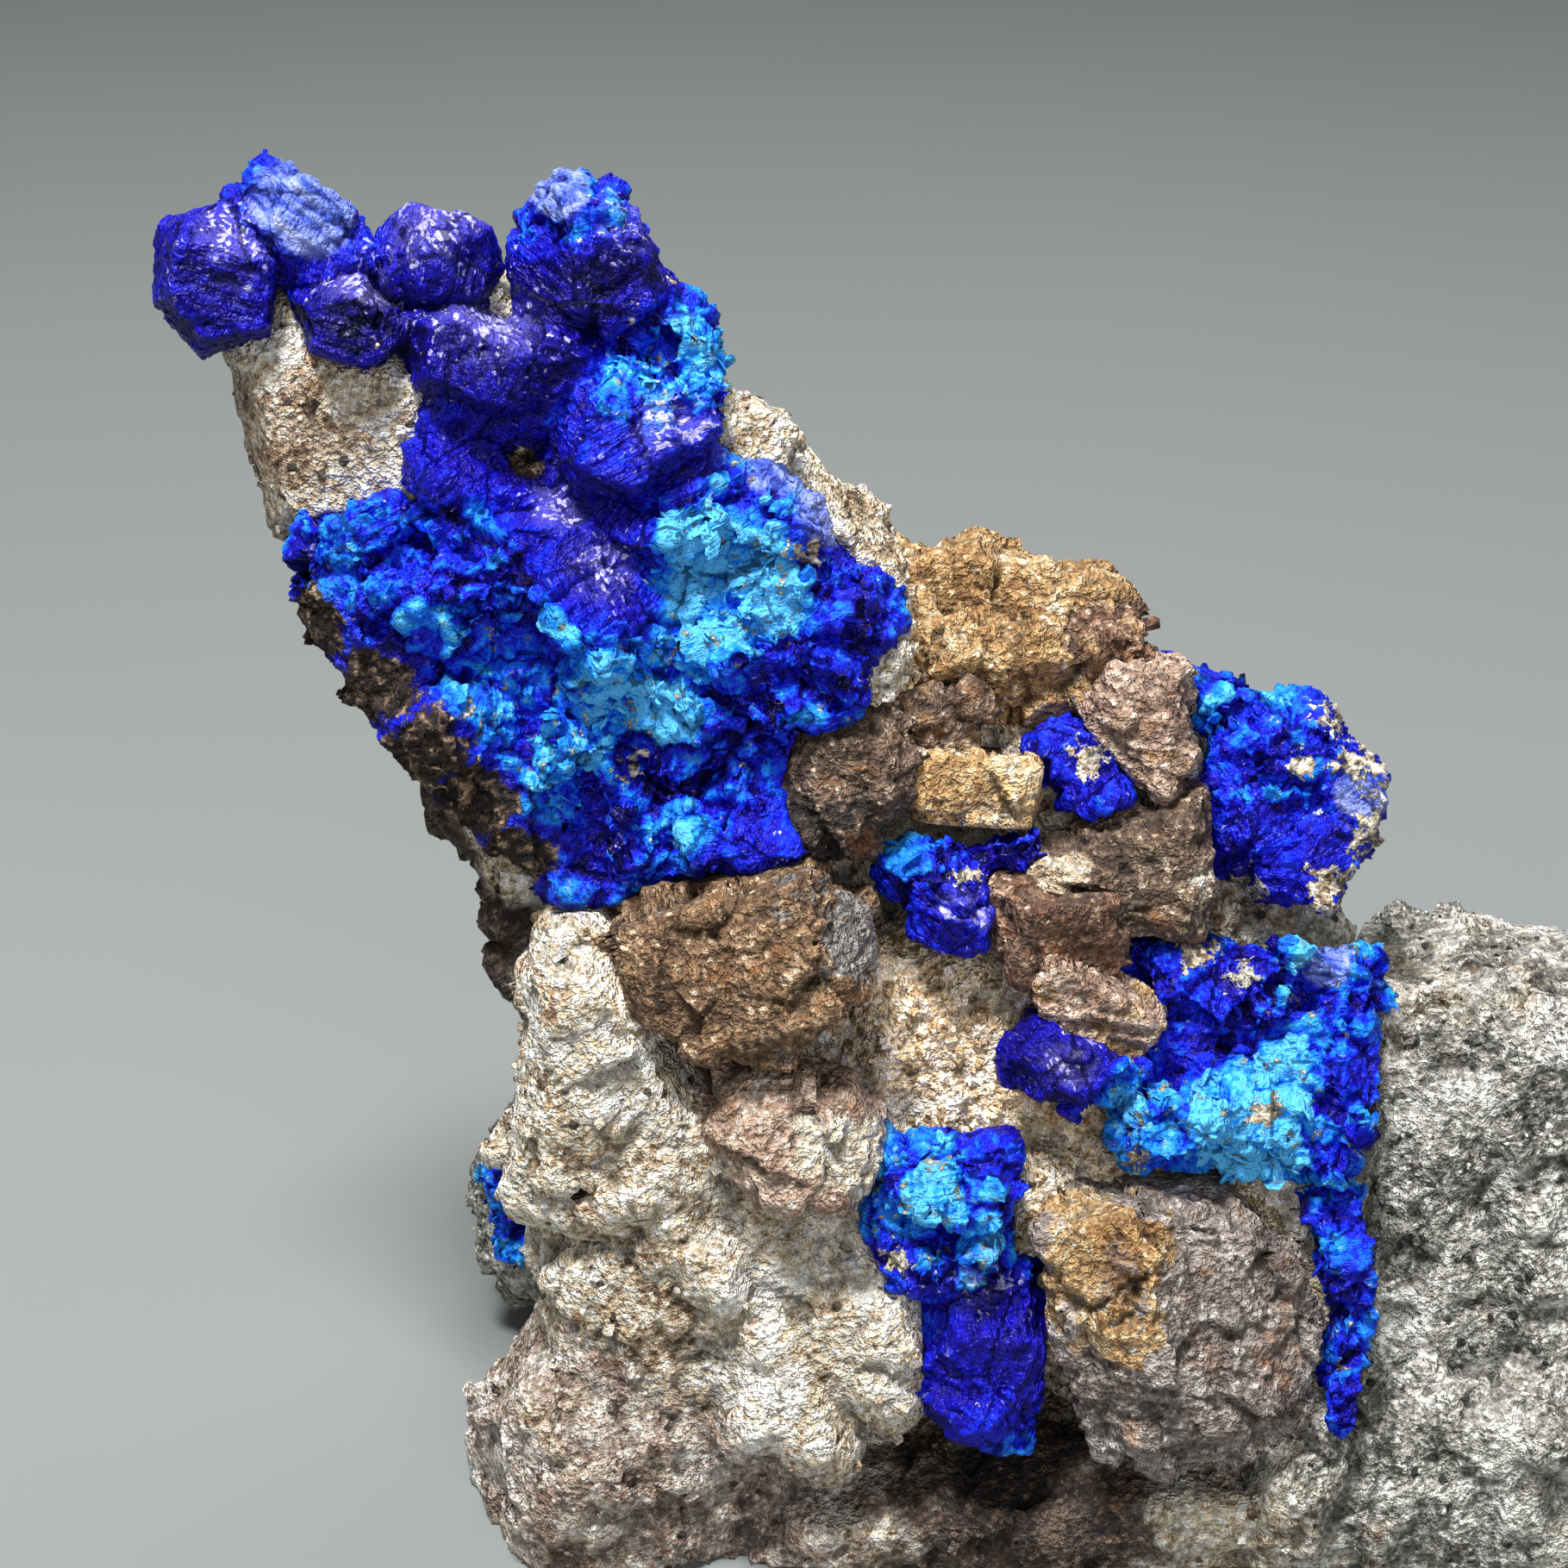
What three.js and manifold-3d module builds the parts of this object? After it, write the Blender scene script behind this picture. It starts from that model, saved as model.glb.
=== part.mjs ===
// Azurite crystals on a breccia matrix: a mineral specimen that stands on the flat of its matrix.
// Millimetres. +X runs to the right along the specimen, +Y away from the viewer, +Z up from the base.
import * as THREE from "three";
import { ConvexGeometry } from "three/addons/geometries/ConvexGeometry.js";
import { mergeVertices } from "three/addons/utils/BufferGeometryUtils.js";
import Module from "manifold-3d";

const wasm = await Module();
wasm.setup();

// Driving dimensions
const SPECIMEN = { length: 49, depth: 20, height: 36 }; // box of the whole specimen
const GAP = 0.3; // clearance that every piece keeps to its neighbours
const EYE = new THREE.Vector3(-8.8, -84.3, 58.4); // viewpoint that small crystals are sighted from

const FAR = 100; // beyond the specimen on every side

// Habits of the rock and of the crystals
const BOULDER = { corners: 18, squareness: 0.72, roughness: 0.17 }; // squareness 1 is an ellipsoid
const KNOBS = { count: 8, half: [1.5, 3.0], sunk: 1.3, corners: 10, aims: [[-14, 20], [-3, 2], [1, 8]] };
const PIT_CORNERS = 8;
const CHIPPED = { least: 0.12, most: 0.5 }; // share of a broken block's edge lost at a corner
const PLATE_BEVEL = 0.24; // share of a plate's thickness that its edge is bevelled by
const TABLE = { face: 0.64, wander: 0.12, angles: [0, 52, 128, 180, 232, 308] }; // large crystals
const CHIP = { face: 0.6, wander: 0.2, angles: [0, 72, 144, 216, 288], faces: [40, 160, 280] }; // small ones
const CRUST = { thickness: 0.6, length: 1.1, lean: 1.1 }; // small crystals, in shares of their half width

// Colours and finishes
const FINISH = {
  matrix: { color: 0xa8957c, roughness: 0.95 },
  clast: { color: 0x7d5a40, roughness: 0.9 },
  azurite: { color: 0x1414b4, roughness: 0.4 },
};

// Lumps of the matrix: middle, half sizes and turn in degrees.
const LUMPS = {
  ridge: { at: [-3.8, 2.2, 11.0], half: [8.0, 3.2, 11.2], turn: [0, -8, 0] },
  slope: { at: [-4.2, -2.2, 9.2], half: [8.6, 3.9, 8.4], turn: [-16, 4, 0] },
  tanFront: { at: [-9.6, -4.9, 7.2], half: [6.3, 4.0, 6.6], turn: [-14, 8, 0] },
  frontLip: { at: [-7.2, -6.3, 6.3], half: [3.9, 2.9, 2.5], turn: [0, 8, 0] },
  leftFoot: { at: [-12.4, -5.4, 1.2], half: [4.7, 4.3, 5.4], turn: [0, 6, 12], squareness: 0.5 },
  neck: { at: [-12.0, -0.6, 13.5], half: [3.6, 4.2, 5.2], turn: [0, -20, 0] },
  backNeck: { at: [-13.5, 2.2, 15.2], half: [3.0, 2.3, 4.2], turn: [0, -25, 0] },
  leftBack: { at: [-13.4, 3.2, 4.2], half: [4.8, 3.0, 4.6], turn: [0, 12, 0] },
  saddle: { at: [-0.8, 1.4, 18.6], half: [3.6, 2.4, 3.8], turn: [0, 10, 0] },
  rightHump: { at: [2.4, 1.0, 10.2], half: [4.8, 4.0, 9.8], turn: [-8, 0, 0] },
  rightSlope: { at: [2.8, -3.8, 7.4], half: [4.6, 3.6, 6.4], turn: [-16, 0, 0] },
  shelf: { at: [0.4, -5.2, 7.0], half: [6.2, 2.5, 3.4], turn: [0, 4, 0] },
  greyMain: { at: [11.8, -1.4, 6.6], half: [7.8, 5.8, 9.0], turn: [-14, 4, 0], squareness: 0.5 },
  greyEnd: { at: [18.0, -0.8, 4.0], half: [5.2, 5.0, 7.4], turn: [-6, 10, 8], squareness: 0.5 },
  greyToe: { at: [9.2, -5.4, 1.4], half: [5.6, 4.5, 4.6], turn: [0, 0, -4], squareness: 0.5 },
  buttress: { at: [2.0, 5.6, 4.0], half: [5.8, 4.5, 5.8], turn: [15, 8, 0] },
  baseCore: { at: [-1.5, -4.0, 0.2], half: [10.5, 6.0, 2.6], turn: [0, 0, 0], squareness: 0.4 },
  armFlank: { at: [-8.2, 2.2, 23.8], half: [2.8, 2.3, 4.8], turn: [0, -38, 0] },
  armBackLow: { at: [-12.6, 2.2, 20.2], half: [4.6, 2.6, 5.2], turn: [0, -30, 0] },
  armBackHigh: { at: [-16.8, 1.9, 27.4], half: [3.8, 2.2, 4.4], turn: [0, -20, 0] },
};

// Plates of rock: outline in X and Z, front and back in Y at the height `level`, and how far they lean
// back for each millimetre of height.
const ARM = {
  outline: [
    [-22.6, 32.0], [-21.6, 27.2], [-19.2, 21.8], [-17.2, 18.8], [-14.9, 14.5], [-8.0, 15.5],
    [-5.4, 22.0], [-5.8, 25.0], [-8.6, 28.0], [-11.4, 30.8], [-13.4, 32.0], [-18.0, 32.8],
  ],
  front: -1.9,
  back: 2.6,
  level: 24,
  lean: 0.1,
};
const SPIRE = {
  outline: [
    [-15.4, 9.5], [-15.3, 13.0], [-14.9, 16.9], [-13.6, 17.2], [-12.9, 15.3], [-11.4, 13.6],
    [-10.2, 11.4], [-11.0, 8.5],
  ],
  front: -7.0,
  back: -2.6,
  level: 13,
  lean: 0.15,
};

// Hollows in the matrix, in shadow below the ledge block and at the left edge.
const HOLLOWS = [
  { at: [-10.2, -6.6, 14.0], half: [2.4, 1.8, 0.9], turn: [-10, 6, 0] },
  { at: [-13.7, -6.6, 10.8], half: [0.8, 1.5, 0.6], turn: [-10, 0, 0] },
];

// Rock fragments set in the matrix: the largest by their corners, round the rim, in front and at the back.
const CLAST_CORNERS = {
  ledge_block: [
    [-13.0, -6.0, 17.9], [-8.1, -6.4, 19.2], [-6.8, -5.2, 17.8], [-6.6, -6.0, 16.2], [-8.4, -7.6, 15.0],
    [-10.8, -7.8, 15.2], [-12.3, -7.0, 15.7],
    [-7.4, -8.3, 16.6], [-8.0, -7.2, 18.4],
    [-12.8, -3.4, 17.2], [-12.0, -3.2, 15.2], [-8.2, -3.2, 18.6], [-6.9, -3.2, 17.2], [-7.0, -3.4, 15.0],
    [-10.0, -3.4, 14.6],
  ],
  rear_block: [
    [-6.5, 1.2, 24.4], [-4.2, 1.6, 25.0], [-1.6, 1.4, 24.6], [0.4, 0.8, 23.9], [0.9, 0.6, 22.9],
    [0.2, 0.2, 21.4], [-2.4, 0.0, 20.9], [-5.0, 0.2, 21.2], [-6.6, 0.8, 22.4],
    [-4.6, -0.4, 23.0], [-1.2, -0.6, 22.8], [0.1, -0.2, 22.6], [-2.8, -0.4, 21.6],
    [-5.6, 4.6, 23.6], [-3.0, 4.9, 24.2], [-0.2, 4.4, 23.4], [-0.4, 4.2, 21.4], [-5.2, 4.2, 21.4],
  ],
  front_block: [
    [-2.2, -8.6, 10.4], [0.3, -8.2, 10.7], [2.5, -8.0, 10.3], [4.0, -8.0, 9.1], [4.9, -8.0, 7.5],
    [4.4, -8.8, 4.9], [2.3, -9.2, 3.7], [-0.7, -9.2, 4.1], [-1.8, -8.8, 7.2],
    [-0.9, -9.7, 8.6], [1.4, -10.0, 6.4], [2.9, -9.9, 5.2], [0.2, -9.9, 5.0],
    [-1.6, -5.6, 10.0], [2.4, -5.4, 10.2], [4.4, -5.6, 7.6], [3.8, -5.8, 5.0], [-0.4, -5.8, 4.4],
  ],
};

// The other large fragments are plates.
const CLAST_PLATES = {
  pointed_chip: {
    outline: [[-2.5, 18.2], [0.2, 19.3], [1.95, 19.9], [2.1, 18.0], [1.9, 16.6], [-0.3, 17.0], [-1.6, 17.6]],
    front: -4.3,
    back: -1.6,
    level: 18,
    lean: 0.3,
  },
  wedge_chip: {
    outline: [[-0.9, 21.6], [-0.3, 22.9], [1.5, 22.6], [1.7, 21.3], [1.1, 19.4]],
    front: -2.3,
    back: 0.2,
    level: 21,
    lean: 0.35,
  },
  pink_block: {
    outline: [
      [-10.6, 12.6], [-10.2, 13.8], [-9.5, 14.1], [-7.2, 13.9], [-6.4, 12.4], [-7.0, 10.9], [-9.4, 11.1],
    ],
    front: -8.5,
    back: -5.6,
    level: 12.5,
    lean: 0.35,
  },
  dark_block: {
    outline: [[-8.7, 20.5], [-7.8, 22.4], [-5.9, 21.8], [-5.4, 20.9], [-6.5, 19.1], [-8.3, 18.8]],
    front: -4.0,
    back: -1.0,
    level: 20.5,
    lean: 0.35,
  },
};

// Rock fragments set in the matrix, the small ones as broken blocks: middle, half sizes and turn.
const CLAST_BLOCKS = {
  pebble: { at: [-1.75, -4.0, 16.9], half: [1.4, 1.1, 1.05], turn: [0, 0, 20] },
  sliver: { at: [-0.9, -5.1, 15.3], half: [1.7, 0.8, 0.6], turn: [0, 34, 0] },
  upper_chip: { at: [-4.8, -0.6, 21.1], half: [1.1, 1.0, 0.95], turn: [-15, 0, 10] },
  ochre_chip: { at: [-3.9, -1.9, 19.9], half: [1.5, 1.0, 0.75], turn: [-20, 4, 0] },
};

// Azurite growths. Sheets of azurite, given as outlines in X and Z with their front in Y, share the backing
// plane behind them. Seated crystals and crusts stand on the sheets and stop at the backing plane. Free
// crystals stand clear. Crystals: middle, half sizes and turn, with the table in their X and Z. Crusts of
// small crystals and pits: the middle as sighted on the plane Y = 0, with reach, count and half sizes.
const GROWTHS = {
  azurite_arm: {
    backing: { back: -0.7, level: 24, lean: 0.18 },
    sheets: [
      {
        outline: [[-17.5, 31.6], [-17.6, 25.5], [-8.5, 25.5], [-9.2, 27.4], [-11.8, 30.6], [-13.5, 31.6]],
        front: -2.9,
      },
      {
        outline: [
          [-20.8, 27.0], [-20.9, 25.0], [-19.0, 21.9], [-16.6, 19.2], [-14.4, 17.2], [-8.2, 17.8],
          [-6.6, 21.0], [-6.6, 24.2], [-8.8, 27.0],
        ],
        front: -3.0,
      },
    ],
    free: [
      { at: [-22.6, -0.3, 33.0], half: [1.75, 1.7, 2.4], turn: [-10, -14, 10] },
      { at: [-20.6, 0.6, 34.0], half: [2.5, 1.5, 1.6], turn: [-42, 30, 0] },
      { at: [-21.3, 1.2, 35.3], half: [0.8, 0.7, 0.8], turn: [0, 30, 0] },
      { at: [-19.3, -0.6, 32.1], half: [1.7, 1.5, 1.5], turn: [-10, 20, 0] },
      { at: [-17.2, 0.2, 33.4], half: [1.7, 1.6, 1.6], turn: [-20, 10, 30] },
      { at: [-13.7, 0.4, 33.6], half: [1.8, 1.8, 2.7], turn: [-8, 12, 25] },
      { at: [-12.4, 0.2, 32.2], half: [1.3, 1.6, 2.0], turn: [0, -25, 0] },
      { at: [-11.2, 0.4, 31.2], half: [1.2, 1.5, 1.7], turn: [0, -30, 0] },
    ],
    seated: [
      { at: [-16.2, -0.9, 31.2], half: [2.4, 1.7, 1.6], turn: [-15, 30, 0] },
      { at: [-14.6, -0.8, 31.2], half: [1.5, 1.5, 1.5], turn: [-10, 0, 20] },
      { at: [-12.6, -1.9, 29.5], half: [1.9, 1.2, 1.8], turn: [-10, 20, 0] },
      { at: [-11.2, -1.5, 30.0], half: [1.6, 1.0, 1.3], turn: [0, -35, 0] },
      { at: [-17.0, -1.9, 28.0], half: [1.2, 1.0, 2.0], turn: [0, -15, 0] },
      { at: [-16.8, -2.8, 25.4], half: [1.7, 0.9, 2.1], turn: [25, -40, 0] },
      { at: [-14.8, -2.4, 26.6], half: [2.0, 1.3, 1.6], turn: [-15, 10, 0] },
      { at: [-13.3, -2.9, 24.7], half: [2.1, 1.4, 1.6], turn: [-10, 30, 0] },
      { at: [-11.4, -2.1, 27.4], half: [2.0, 1.2, 1.4], turn: [0, -20, 0] },
      { at: [-10.2, -2.5, 24.6], half: [2.1, 1.0, 1.6], turn: [-12, 10, 0] },
      { at: [-20.0, -1.9, 25.8], half: [1.2, 1.0, 1.5], turn: [0, -10, 0] },
      { at: [-8.7, -1.2, 27.0], half: [1.1, 1.2, 2.2], turn: [0, -38, 0] },
      { at: [-7.0, -0.9, 24.8], half: [1.1, 1.3, 2.0], turn: [0, -38, 0] },
    ],
    crusts: [
      { seen: [-13.6, 21.4], reach: [4.2, 3.4], count: 10, half: [1.1, 1.8] },
      { seen: [-11.2, 17.9], reach: [3.4, 2.0], count: 5, half: [1.0, 1.6] },
      { seen: [-19.2, 25.0], reach: [1.8, 1.6], count: 3, half: [0.8, 1.3] },
      { seen: [-8.8, 23.4], reach: [1.8, 3.0], count: 3, half: [0.9, 1.3] },
    ],
    pits: [
      { seen: [-15.1, 28.6], half: [0.8, 1.3, 0.7] },
      { seen: [-14.1, 19.9], half: [0.7, 1.2, 0.5] },
      { seen: [-9.4, 25.6], half: [0.7, 1.2, 0.5] },
      { seen: [-10.6, 19.0], half: [0.9, 1.1, 0.6] },
      { seen: [-17.0, 23.8], half: [0.9, 1.1, 0.6] },
    ],
  },
  azurite_right: {
    backing: { back: 0.6, level: 19, lean: 0.25 },
    sheets: [
      { outline: [[2, 20.6], [4.2, 21.4], [5.6, 21.2], [6.8, 19.4], [6, 16.7], [2.5, 16.9]], front: -1.5 },
    ],
    free: [],
    seated: [
      { at: [4.6, -0.4, 20.3], half: [1.7, 1.5, 1.5], turn: [-20, 15, 0] },
      { at: [5.8, -0.4, 18.8], half: [1.4, 1.6, 1.8], turn: [-10, -15, 0] },
      { at: [3.4, -0.9, 18.6], half: [1.6, 1.3, 1.8], turn: [-10, 20, 0] },
      { at: [4.7, -1.6, 17.3], half: [1.7, 1.2, 1.3], turn: [-15, 10, 0] },
      { at: [2.7, 0.4, 21.5], half: [1.5, 1.0, 0.9], turn: [-10, 15, 0] },
      { at: [0.7, 0.7, 22.1], half: [1.6, 1.0, 0.8], turn: [-10, 12, 0] },
    ],
    crusts: [{ seen: [4.6, 18.4], reach: [2.2, 2.4], count: 2, half: [0.8, 1.2] }],
    pits: [],
  },
  azurite_valley: {
    backing: { back: -2.0, level: 18, lean: 0.5 },
    sheets: [],
    free: [],
    seated: [
      { at: [-4.8, -3.4, 18.0], half: [1.9, 1.1, 1.2], turn: [-30, 10, 0] },
      { at: [-4.3, -3.9, 17.1], half: [1.6, 1.0, 1.0], turn: [15, 20, 0] },
      { at: [-2.9, -3.0, 18.5], half: [1.0, 1.0, 0.9], turn: [-20, 0, 20] },
    ],
    crusts: [],
    pits: [],
  },
  azurite_upper: {
    backing: { back: -0.4, level: 20, lean: 0.3 },
    sheets: [],
    free: [],
    seated: [
      { at: [-1.4, -1.2, 20.4], half: [1.5, 1.1, 1.4], turn: [-25, 15, 0] },
      { at: [-0.7, -1.9, 19.6], half: [1.0, 0.9, 1.1], turn: [-10, 30, 0] },
    ],
    crusts: [],
    pits: [],
  },
  azurite_slab: {
    backing: { back: -4.0, level: 13, lean: 0.5 },
    sheets: [
      { outline: [[-0.2, 16.2], [6.7, 15.5], [6.5, 13], [5.8, 10.4], [0, 10.8], [-0.5, 13.6]], front: -5.5 },
      { outline: [[4.7, 11.0], [5.9, 11.0], [6.2, 7.0], [6.0, 4.7], [5.3, 4.8], [4.9, 8.0]], front: -5.2 },
    ],
    free: [],
    seated: [
      { at: [1.8, -3.9, 15.1], half: [2.0, 1.1, 1.6], turn: [-30, 25, 0] },
      { at: [5.1, -3.5, 14.6], half: [1.8, 1.1, 1.5], turn: [-30, 5, 0] },
      { at: [-1.6, -5.8, 13.8], half: [2.0, 1.2, 1.4], turn: [-30, 15, 0] },
      { at: [1.2, -6.2, 12.2], half: [1.9, 1.2, 1.4], turn: [-25, -10, 0] },
      { at: [3.4, -5.9, 12.2], half: [1.8, 1.2, 1.4], turn: [-30, 20, 0] },
      { at: [5.1, -6.0, 11.5], half: [1.3, 1.2, 1.6], turn: [-20, 0, 0] },
      { at: [5.5, -7.3, 8.6], half: [0.9, 0.9, 1.6], turn: [0, -5, 0] },
      { at: [5.6, -7.8, 6.2], half: [0.9, 0.8, 1.6], turn: [0, 8, 0] },
    ],
    crusts: [
      { seen: [3.8, 12.8], reach: [2.8, 1.4], count: 3, half: [0.8, 1.2] },
      { seen: [3.4, 8.2], reach: [3.0, 1.6], count: 2, half: [0.8, 1.3] },
    ],
    pits: [],
  },
  azurite_front: {
    backing: { back: -6.7, level: 8, lean: 0.22 },
    sheets: [
      { outline: [[-7.0, 12.0], [-2.7, 12.2], [-2.9, 8.6], [-5.6, 8.3], [-6.6, 9.2]], front: -8.3 },
      { outline: [[-5.4, 9.0], [-1.9, 9.0], [-2.0, 6.5], [-2.6, 4.0], [-5.2, 4.9]], front: -8.2 },
    ],
    free: [],
    seated: [
      { at: [-5.5, -7.5, 11.4], half: [1.5, 1.0, 1.0], turn: [-20, 10, 0] },
      { at: [-3.7, -7.6, 11.0], half: [1.3, 1.0, 1.3], turn: [-20, -10, 0] },
      { at: [-4.6, -8.2, 9.4], half: [1.5, 0.9, 1.1], turn: [-10, 0, 0] },
      { at: [-3.4, -8.4, 7.0], half: [1.6, 0.9, 1.5], turn: [0, 0, 0] },
      { at: [-4.0, -8.8, 5.3], half: [1.6, 0.8, 0.9], turn: [0, 20, 0] },
      { at: [-2.9, -8.8, 4.7], half: [1.2, 0.8, 0.9], turn: [0, 25, 0] },
    ],
    crusts: [
      { seen: [-4.6, 5.6], reach: [1.8, 1.8], count: 3, half: [0.7, 1.0] },
      { seen: [-3.4, 0.2], reach: [1.6, 2.2], count: 3, half: [0.8, 1.1] },
    ],
    pits: [],
  },
  azurite_spot: {
    backing: { back: 6, level: 5, lean: 0 },
    sheets: [],
    free: [
      { at: [-16.5, 1.4, 5.4], half: [0.9, 0.9, 1.2], turn: [0, 10, 0] },
      { at: [-16.2, 1.2, 4.1], half: [0.7, 0.8, 0.8], turn: [0, -10, 0] },
    ],
    seated: [],
    crusts: [],
    pits: [],
  },
};

// Repeatable random numbers from 0 to 1.
function seeded(seed) {
  let state = seed >>> 0;
  return () => {
    state = (state + 0x6d2b79f5) >>> 0;
    let mixed = Math.imul(state ^ (state >>> 15), 1 | state);
    mixed = (mixed + Math.imul(mixed ^ (mixed >>> 7), 61 | mixed)) ^ mixed;
    return ((mixed ^ (mixed >>> 14)) >>> 0) / 4294967296;
  };
}

// A geometry as a solid that can be joined and cut.
function solidOf(geometry) {
  const bare = geometry.clone();
  bare.deleteAttribute("normal");
  bare.deleteAttribute("uv");
  const merged = mergeVertices(bare, 1e-4);
  return new wasm.Manifold(
    new wasm.Mesh({
      numProp: 3,
      vertProperties: new Float32Array(merged.attributes.position.array),
      triVerts: new Uint32Array(merged.index.array),
    }),
  );
}

// A solid as a geometry again.
function geometryOf(solid) {
  const mesh = solid.getMesh();
  const geometry = new THREE.BufferGeometry();
  geometry.setAttribute("position", new THREE.BufferAttribute(new Float32Array(mesh.vertProperties), 3));
  geometry.setIndex(new THREE.BufferAttribute(new Uint32Array(mesh.triVerts), 1));
  return geometry;
}

function meshOf(solid, finish) {
  return new THREE.Mesh(geometryOf(solid), new THREE.MeshStandardMaterial({ ...finish, metalness: 0 }));
}

// The largest body of a solid, without the crumbs that a cut leaves.
function mainBody(solid) {
  return solid.decompose().reduce((most, body) => (body.volume() > most.volume() ? body : most));
}

const NOTHING = solidOf(new THREE.BoxGeometry(1, 1, 1)).subtract(solidOf(new THREE.BoxGeometry(2, 2, 2)));

function joined(solids) {
  return solids.reduce((whole, next) => whole.add(next), NOTHING);
}

function between([least, most], share) {
  return least + (most - least) * share;
}

function quaternionOf(turn) {
  const [x, y, z] = turn.map(THREE.MathUtils.degToRad);
  return new THREE.Quaternion().setFromEuler(new THREE.Euler(x, y, z));
}

// Hull of corners given in shares of the half sizes, grown on every side, turned and placed.
function hull(corners, { at, half, turn }, grow) {
  const size = new THREE.Vector3(...half).addScalar(grow);
  const spin = turn.isQuaternion ? turn : quaternionOf(turn);
  const middle = new THREE.Vector3(...at);
  const placed = corners.map((corner) => corner.clone().multiply(size).applyQuaternion(spin).add(middle));
  return solidOf(new ConvexGeometry(placed));
}

// Corners of a lump of rock: points spread over a ball, squared off and roughened.
function boulderCorners(seed, count, squareness = BOULDER.squareness) {
  const random = seeded(seed);
  const golden = Math.PI * (3 - Math.sqrt(5));
  return Array.from({ length: count }, (_, i) => {
    const z = 1 - (2 * i + 1) / count;
    const radius = Math.sqrt(1 - z * z);
    const scale = 1 - BOULDER.roughness * random();
    const corner = [radius * Math.cos(golden * i), radius * Math.sin(golden * i), z];
    return new THREE.Vector3(...corner.map((c) => Math.sign(c) * Math.abs(c) ** squareness * scale));
  });
}

// Corners of a plain box.
const ENDS = [-1, 1];
const BOX_CORNERS = ENDS.flatMap((x) => ENDS.flatMap((y) => ENDS.map((z) => new THREE.Vector3(x, y, z))));

// Corners of a broken block: a box that has lost its corners.
function blockCorners(seed) {
  const random = seeded(seed);
  const kept = () => 1 - between([CHIPPED.least, CHIPPED.most], random());
  return BOX_CORNERS.flatMap(({ x, y, z }) => [
    new THREE.Vector3(x * kept(), y, z),
    new THREE.Vector3(x, y * kept(), z),
    new THREE.Vector3(x, y, z * kept()),
  ]);
}

// A ring of a crystal's corners at a height along its short axis.
function crystalRing(random, angles, height, share, wander) {
  return angles.map((degrees) => {
    const angle = THREE.MathUtils.degToRad(degrees + 80 * wander * (random() - 0.5));
    const reach = share * (1 - wander * random());
    const level = height * (1 - wander * random());
    return new THREE.Vector3(reach * Math.cos(angle), level, reach * Math.sin(angle));
  });
}

// Corners of a thick tabular crystal: a six-sided rim, bevelled towards both of its faces.
function tableCorners(seed) {
  const random = seeded(seed);
  const ring = (height, share) => crystalRing(random, TABLE.angles, height, share, TABLE.wander);
  return [...ring(-1, TABLE.face), ...ring(0.1, 1), ...ring(1, TABLE.face)];
}

// Corners of a small crystal: a five-sided rim between two smaller faces.
function chipCorners(seed) {
  const random = seeded(seed);
  const ring = (angles, height, share) => crystalRing(random, angles, height, share, CHIP.wander);
  const faces = ENDS.flatMap((height) => ring(CHIP.faces, height, CHIP.face));
  return [...faces, ...ring(CHIP.angles, 0.1, 1)];
}

// A leaning plate with a bevelled edge.
function plate({ outline, front, back, level, lean }, grow) {
  const middle = new THREE.Vector2();
  outline.forEach(([x, z]) => middle.add(new THREE.Vector2(x, z).divideScalar(outline.length)));
  const bevel = PLATE_BEVEL * (back - front);
  const corners = [];
  for (const [x, z] of outline) {
    const out = new THREE.Vector2(x, z).sub(middle);
    for (const [y, inset] of [[front, bevel], [front + bevel, 0], [back - bevel, 0], [back, bevel]]) {
      const side = y < (front + back) / 2 ? -grow : grow;
      const spot = out.clone().setLength(Math.max(0.1, out.length() - inset + grow)).add(middle);
      corners.push(new THREE.Vector3(spot.x, y + side + lean * (spot.y - level), spot.y));
    }
  }
  return solidOf(new ConvexGeometry(corners));
}

// A block given by its corners, grown away from its middle.
function cornered(corners, grow) {
  const spots = corners.map((corner) => new THREE.Vector3(...corner));
  const middle = new THREE.Box3().setFromPoints(spots).getCenter(new THREE.Vector3());
  for (const spot of spots) {
    const out = spot.clone().sub(middle).normalize();
    spot.addScaledVector(out, grow);
  }
  return solidOf(new ConvexGeometry(spots));
}

// All the space in front of a growth's backing plane.
function inFrontOf(backing, grow) {
  const outline = [[-FAR, -FAR], [FAR, -FAR], [FAR, FAR], [-FAR, FAR]];
  const corners = outline.flatMap(([x, z]) =>
    [-FAR, backing.back + grow].map((y) => new THREE.Vector3(x, y + backing.lean * (z - backing.level), z)),
  );
  return solidOf(new ConvexGeometry(corners));
}

// Where a line of sight meets a body, with the face that it meets there.
function sighted(body, from, through) {
  return new THREE.Raycaster(from, through.clone().sub(from).normalize()).intersectObject(body)[0];
}

// Small lumps all round the matrix, seated where random lines of sight meet it.
function knobs(rock) {
  const random = seeded(40);
  return Array.from({ length: KNOBS.count }, (_, i) => {
    const aim = new THREE.Vector3(...KNOBS.aims.map((range) => between(range, random())));
    const way = 2 * Math.PI * random();
    const from = new THREE.Vector3(Math.cos(way), Math.sin(way), 0.6 * random()).multiplyScalar(FAR).add(aim);
    const half = [0, 1, 2].map(() => between(KNOBS.half, random()));
    const turn = [360 * random(), 360 * random(), 0];
    const at = sighted(rock, from, aim).point.lerp(aim, KNOBS.sunk / from.distanceTo(aim)).toArray();
    return hull(boulderCorners(50 + i, KNOBS.corners), { at, half, turn }, 0);
  });
}

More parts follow.
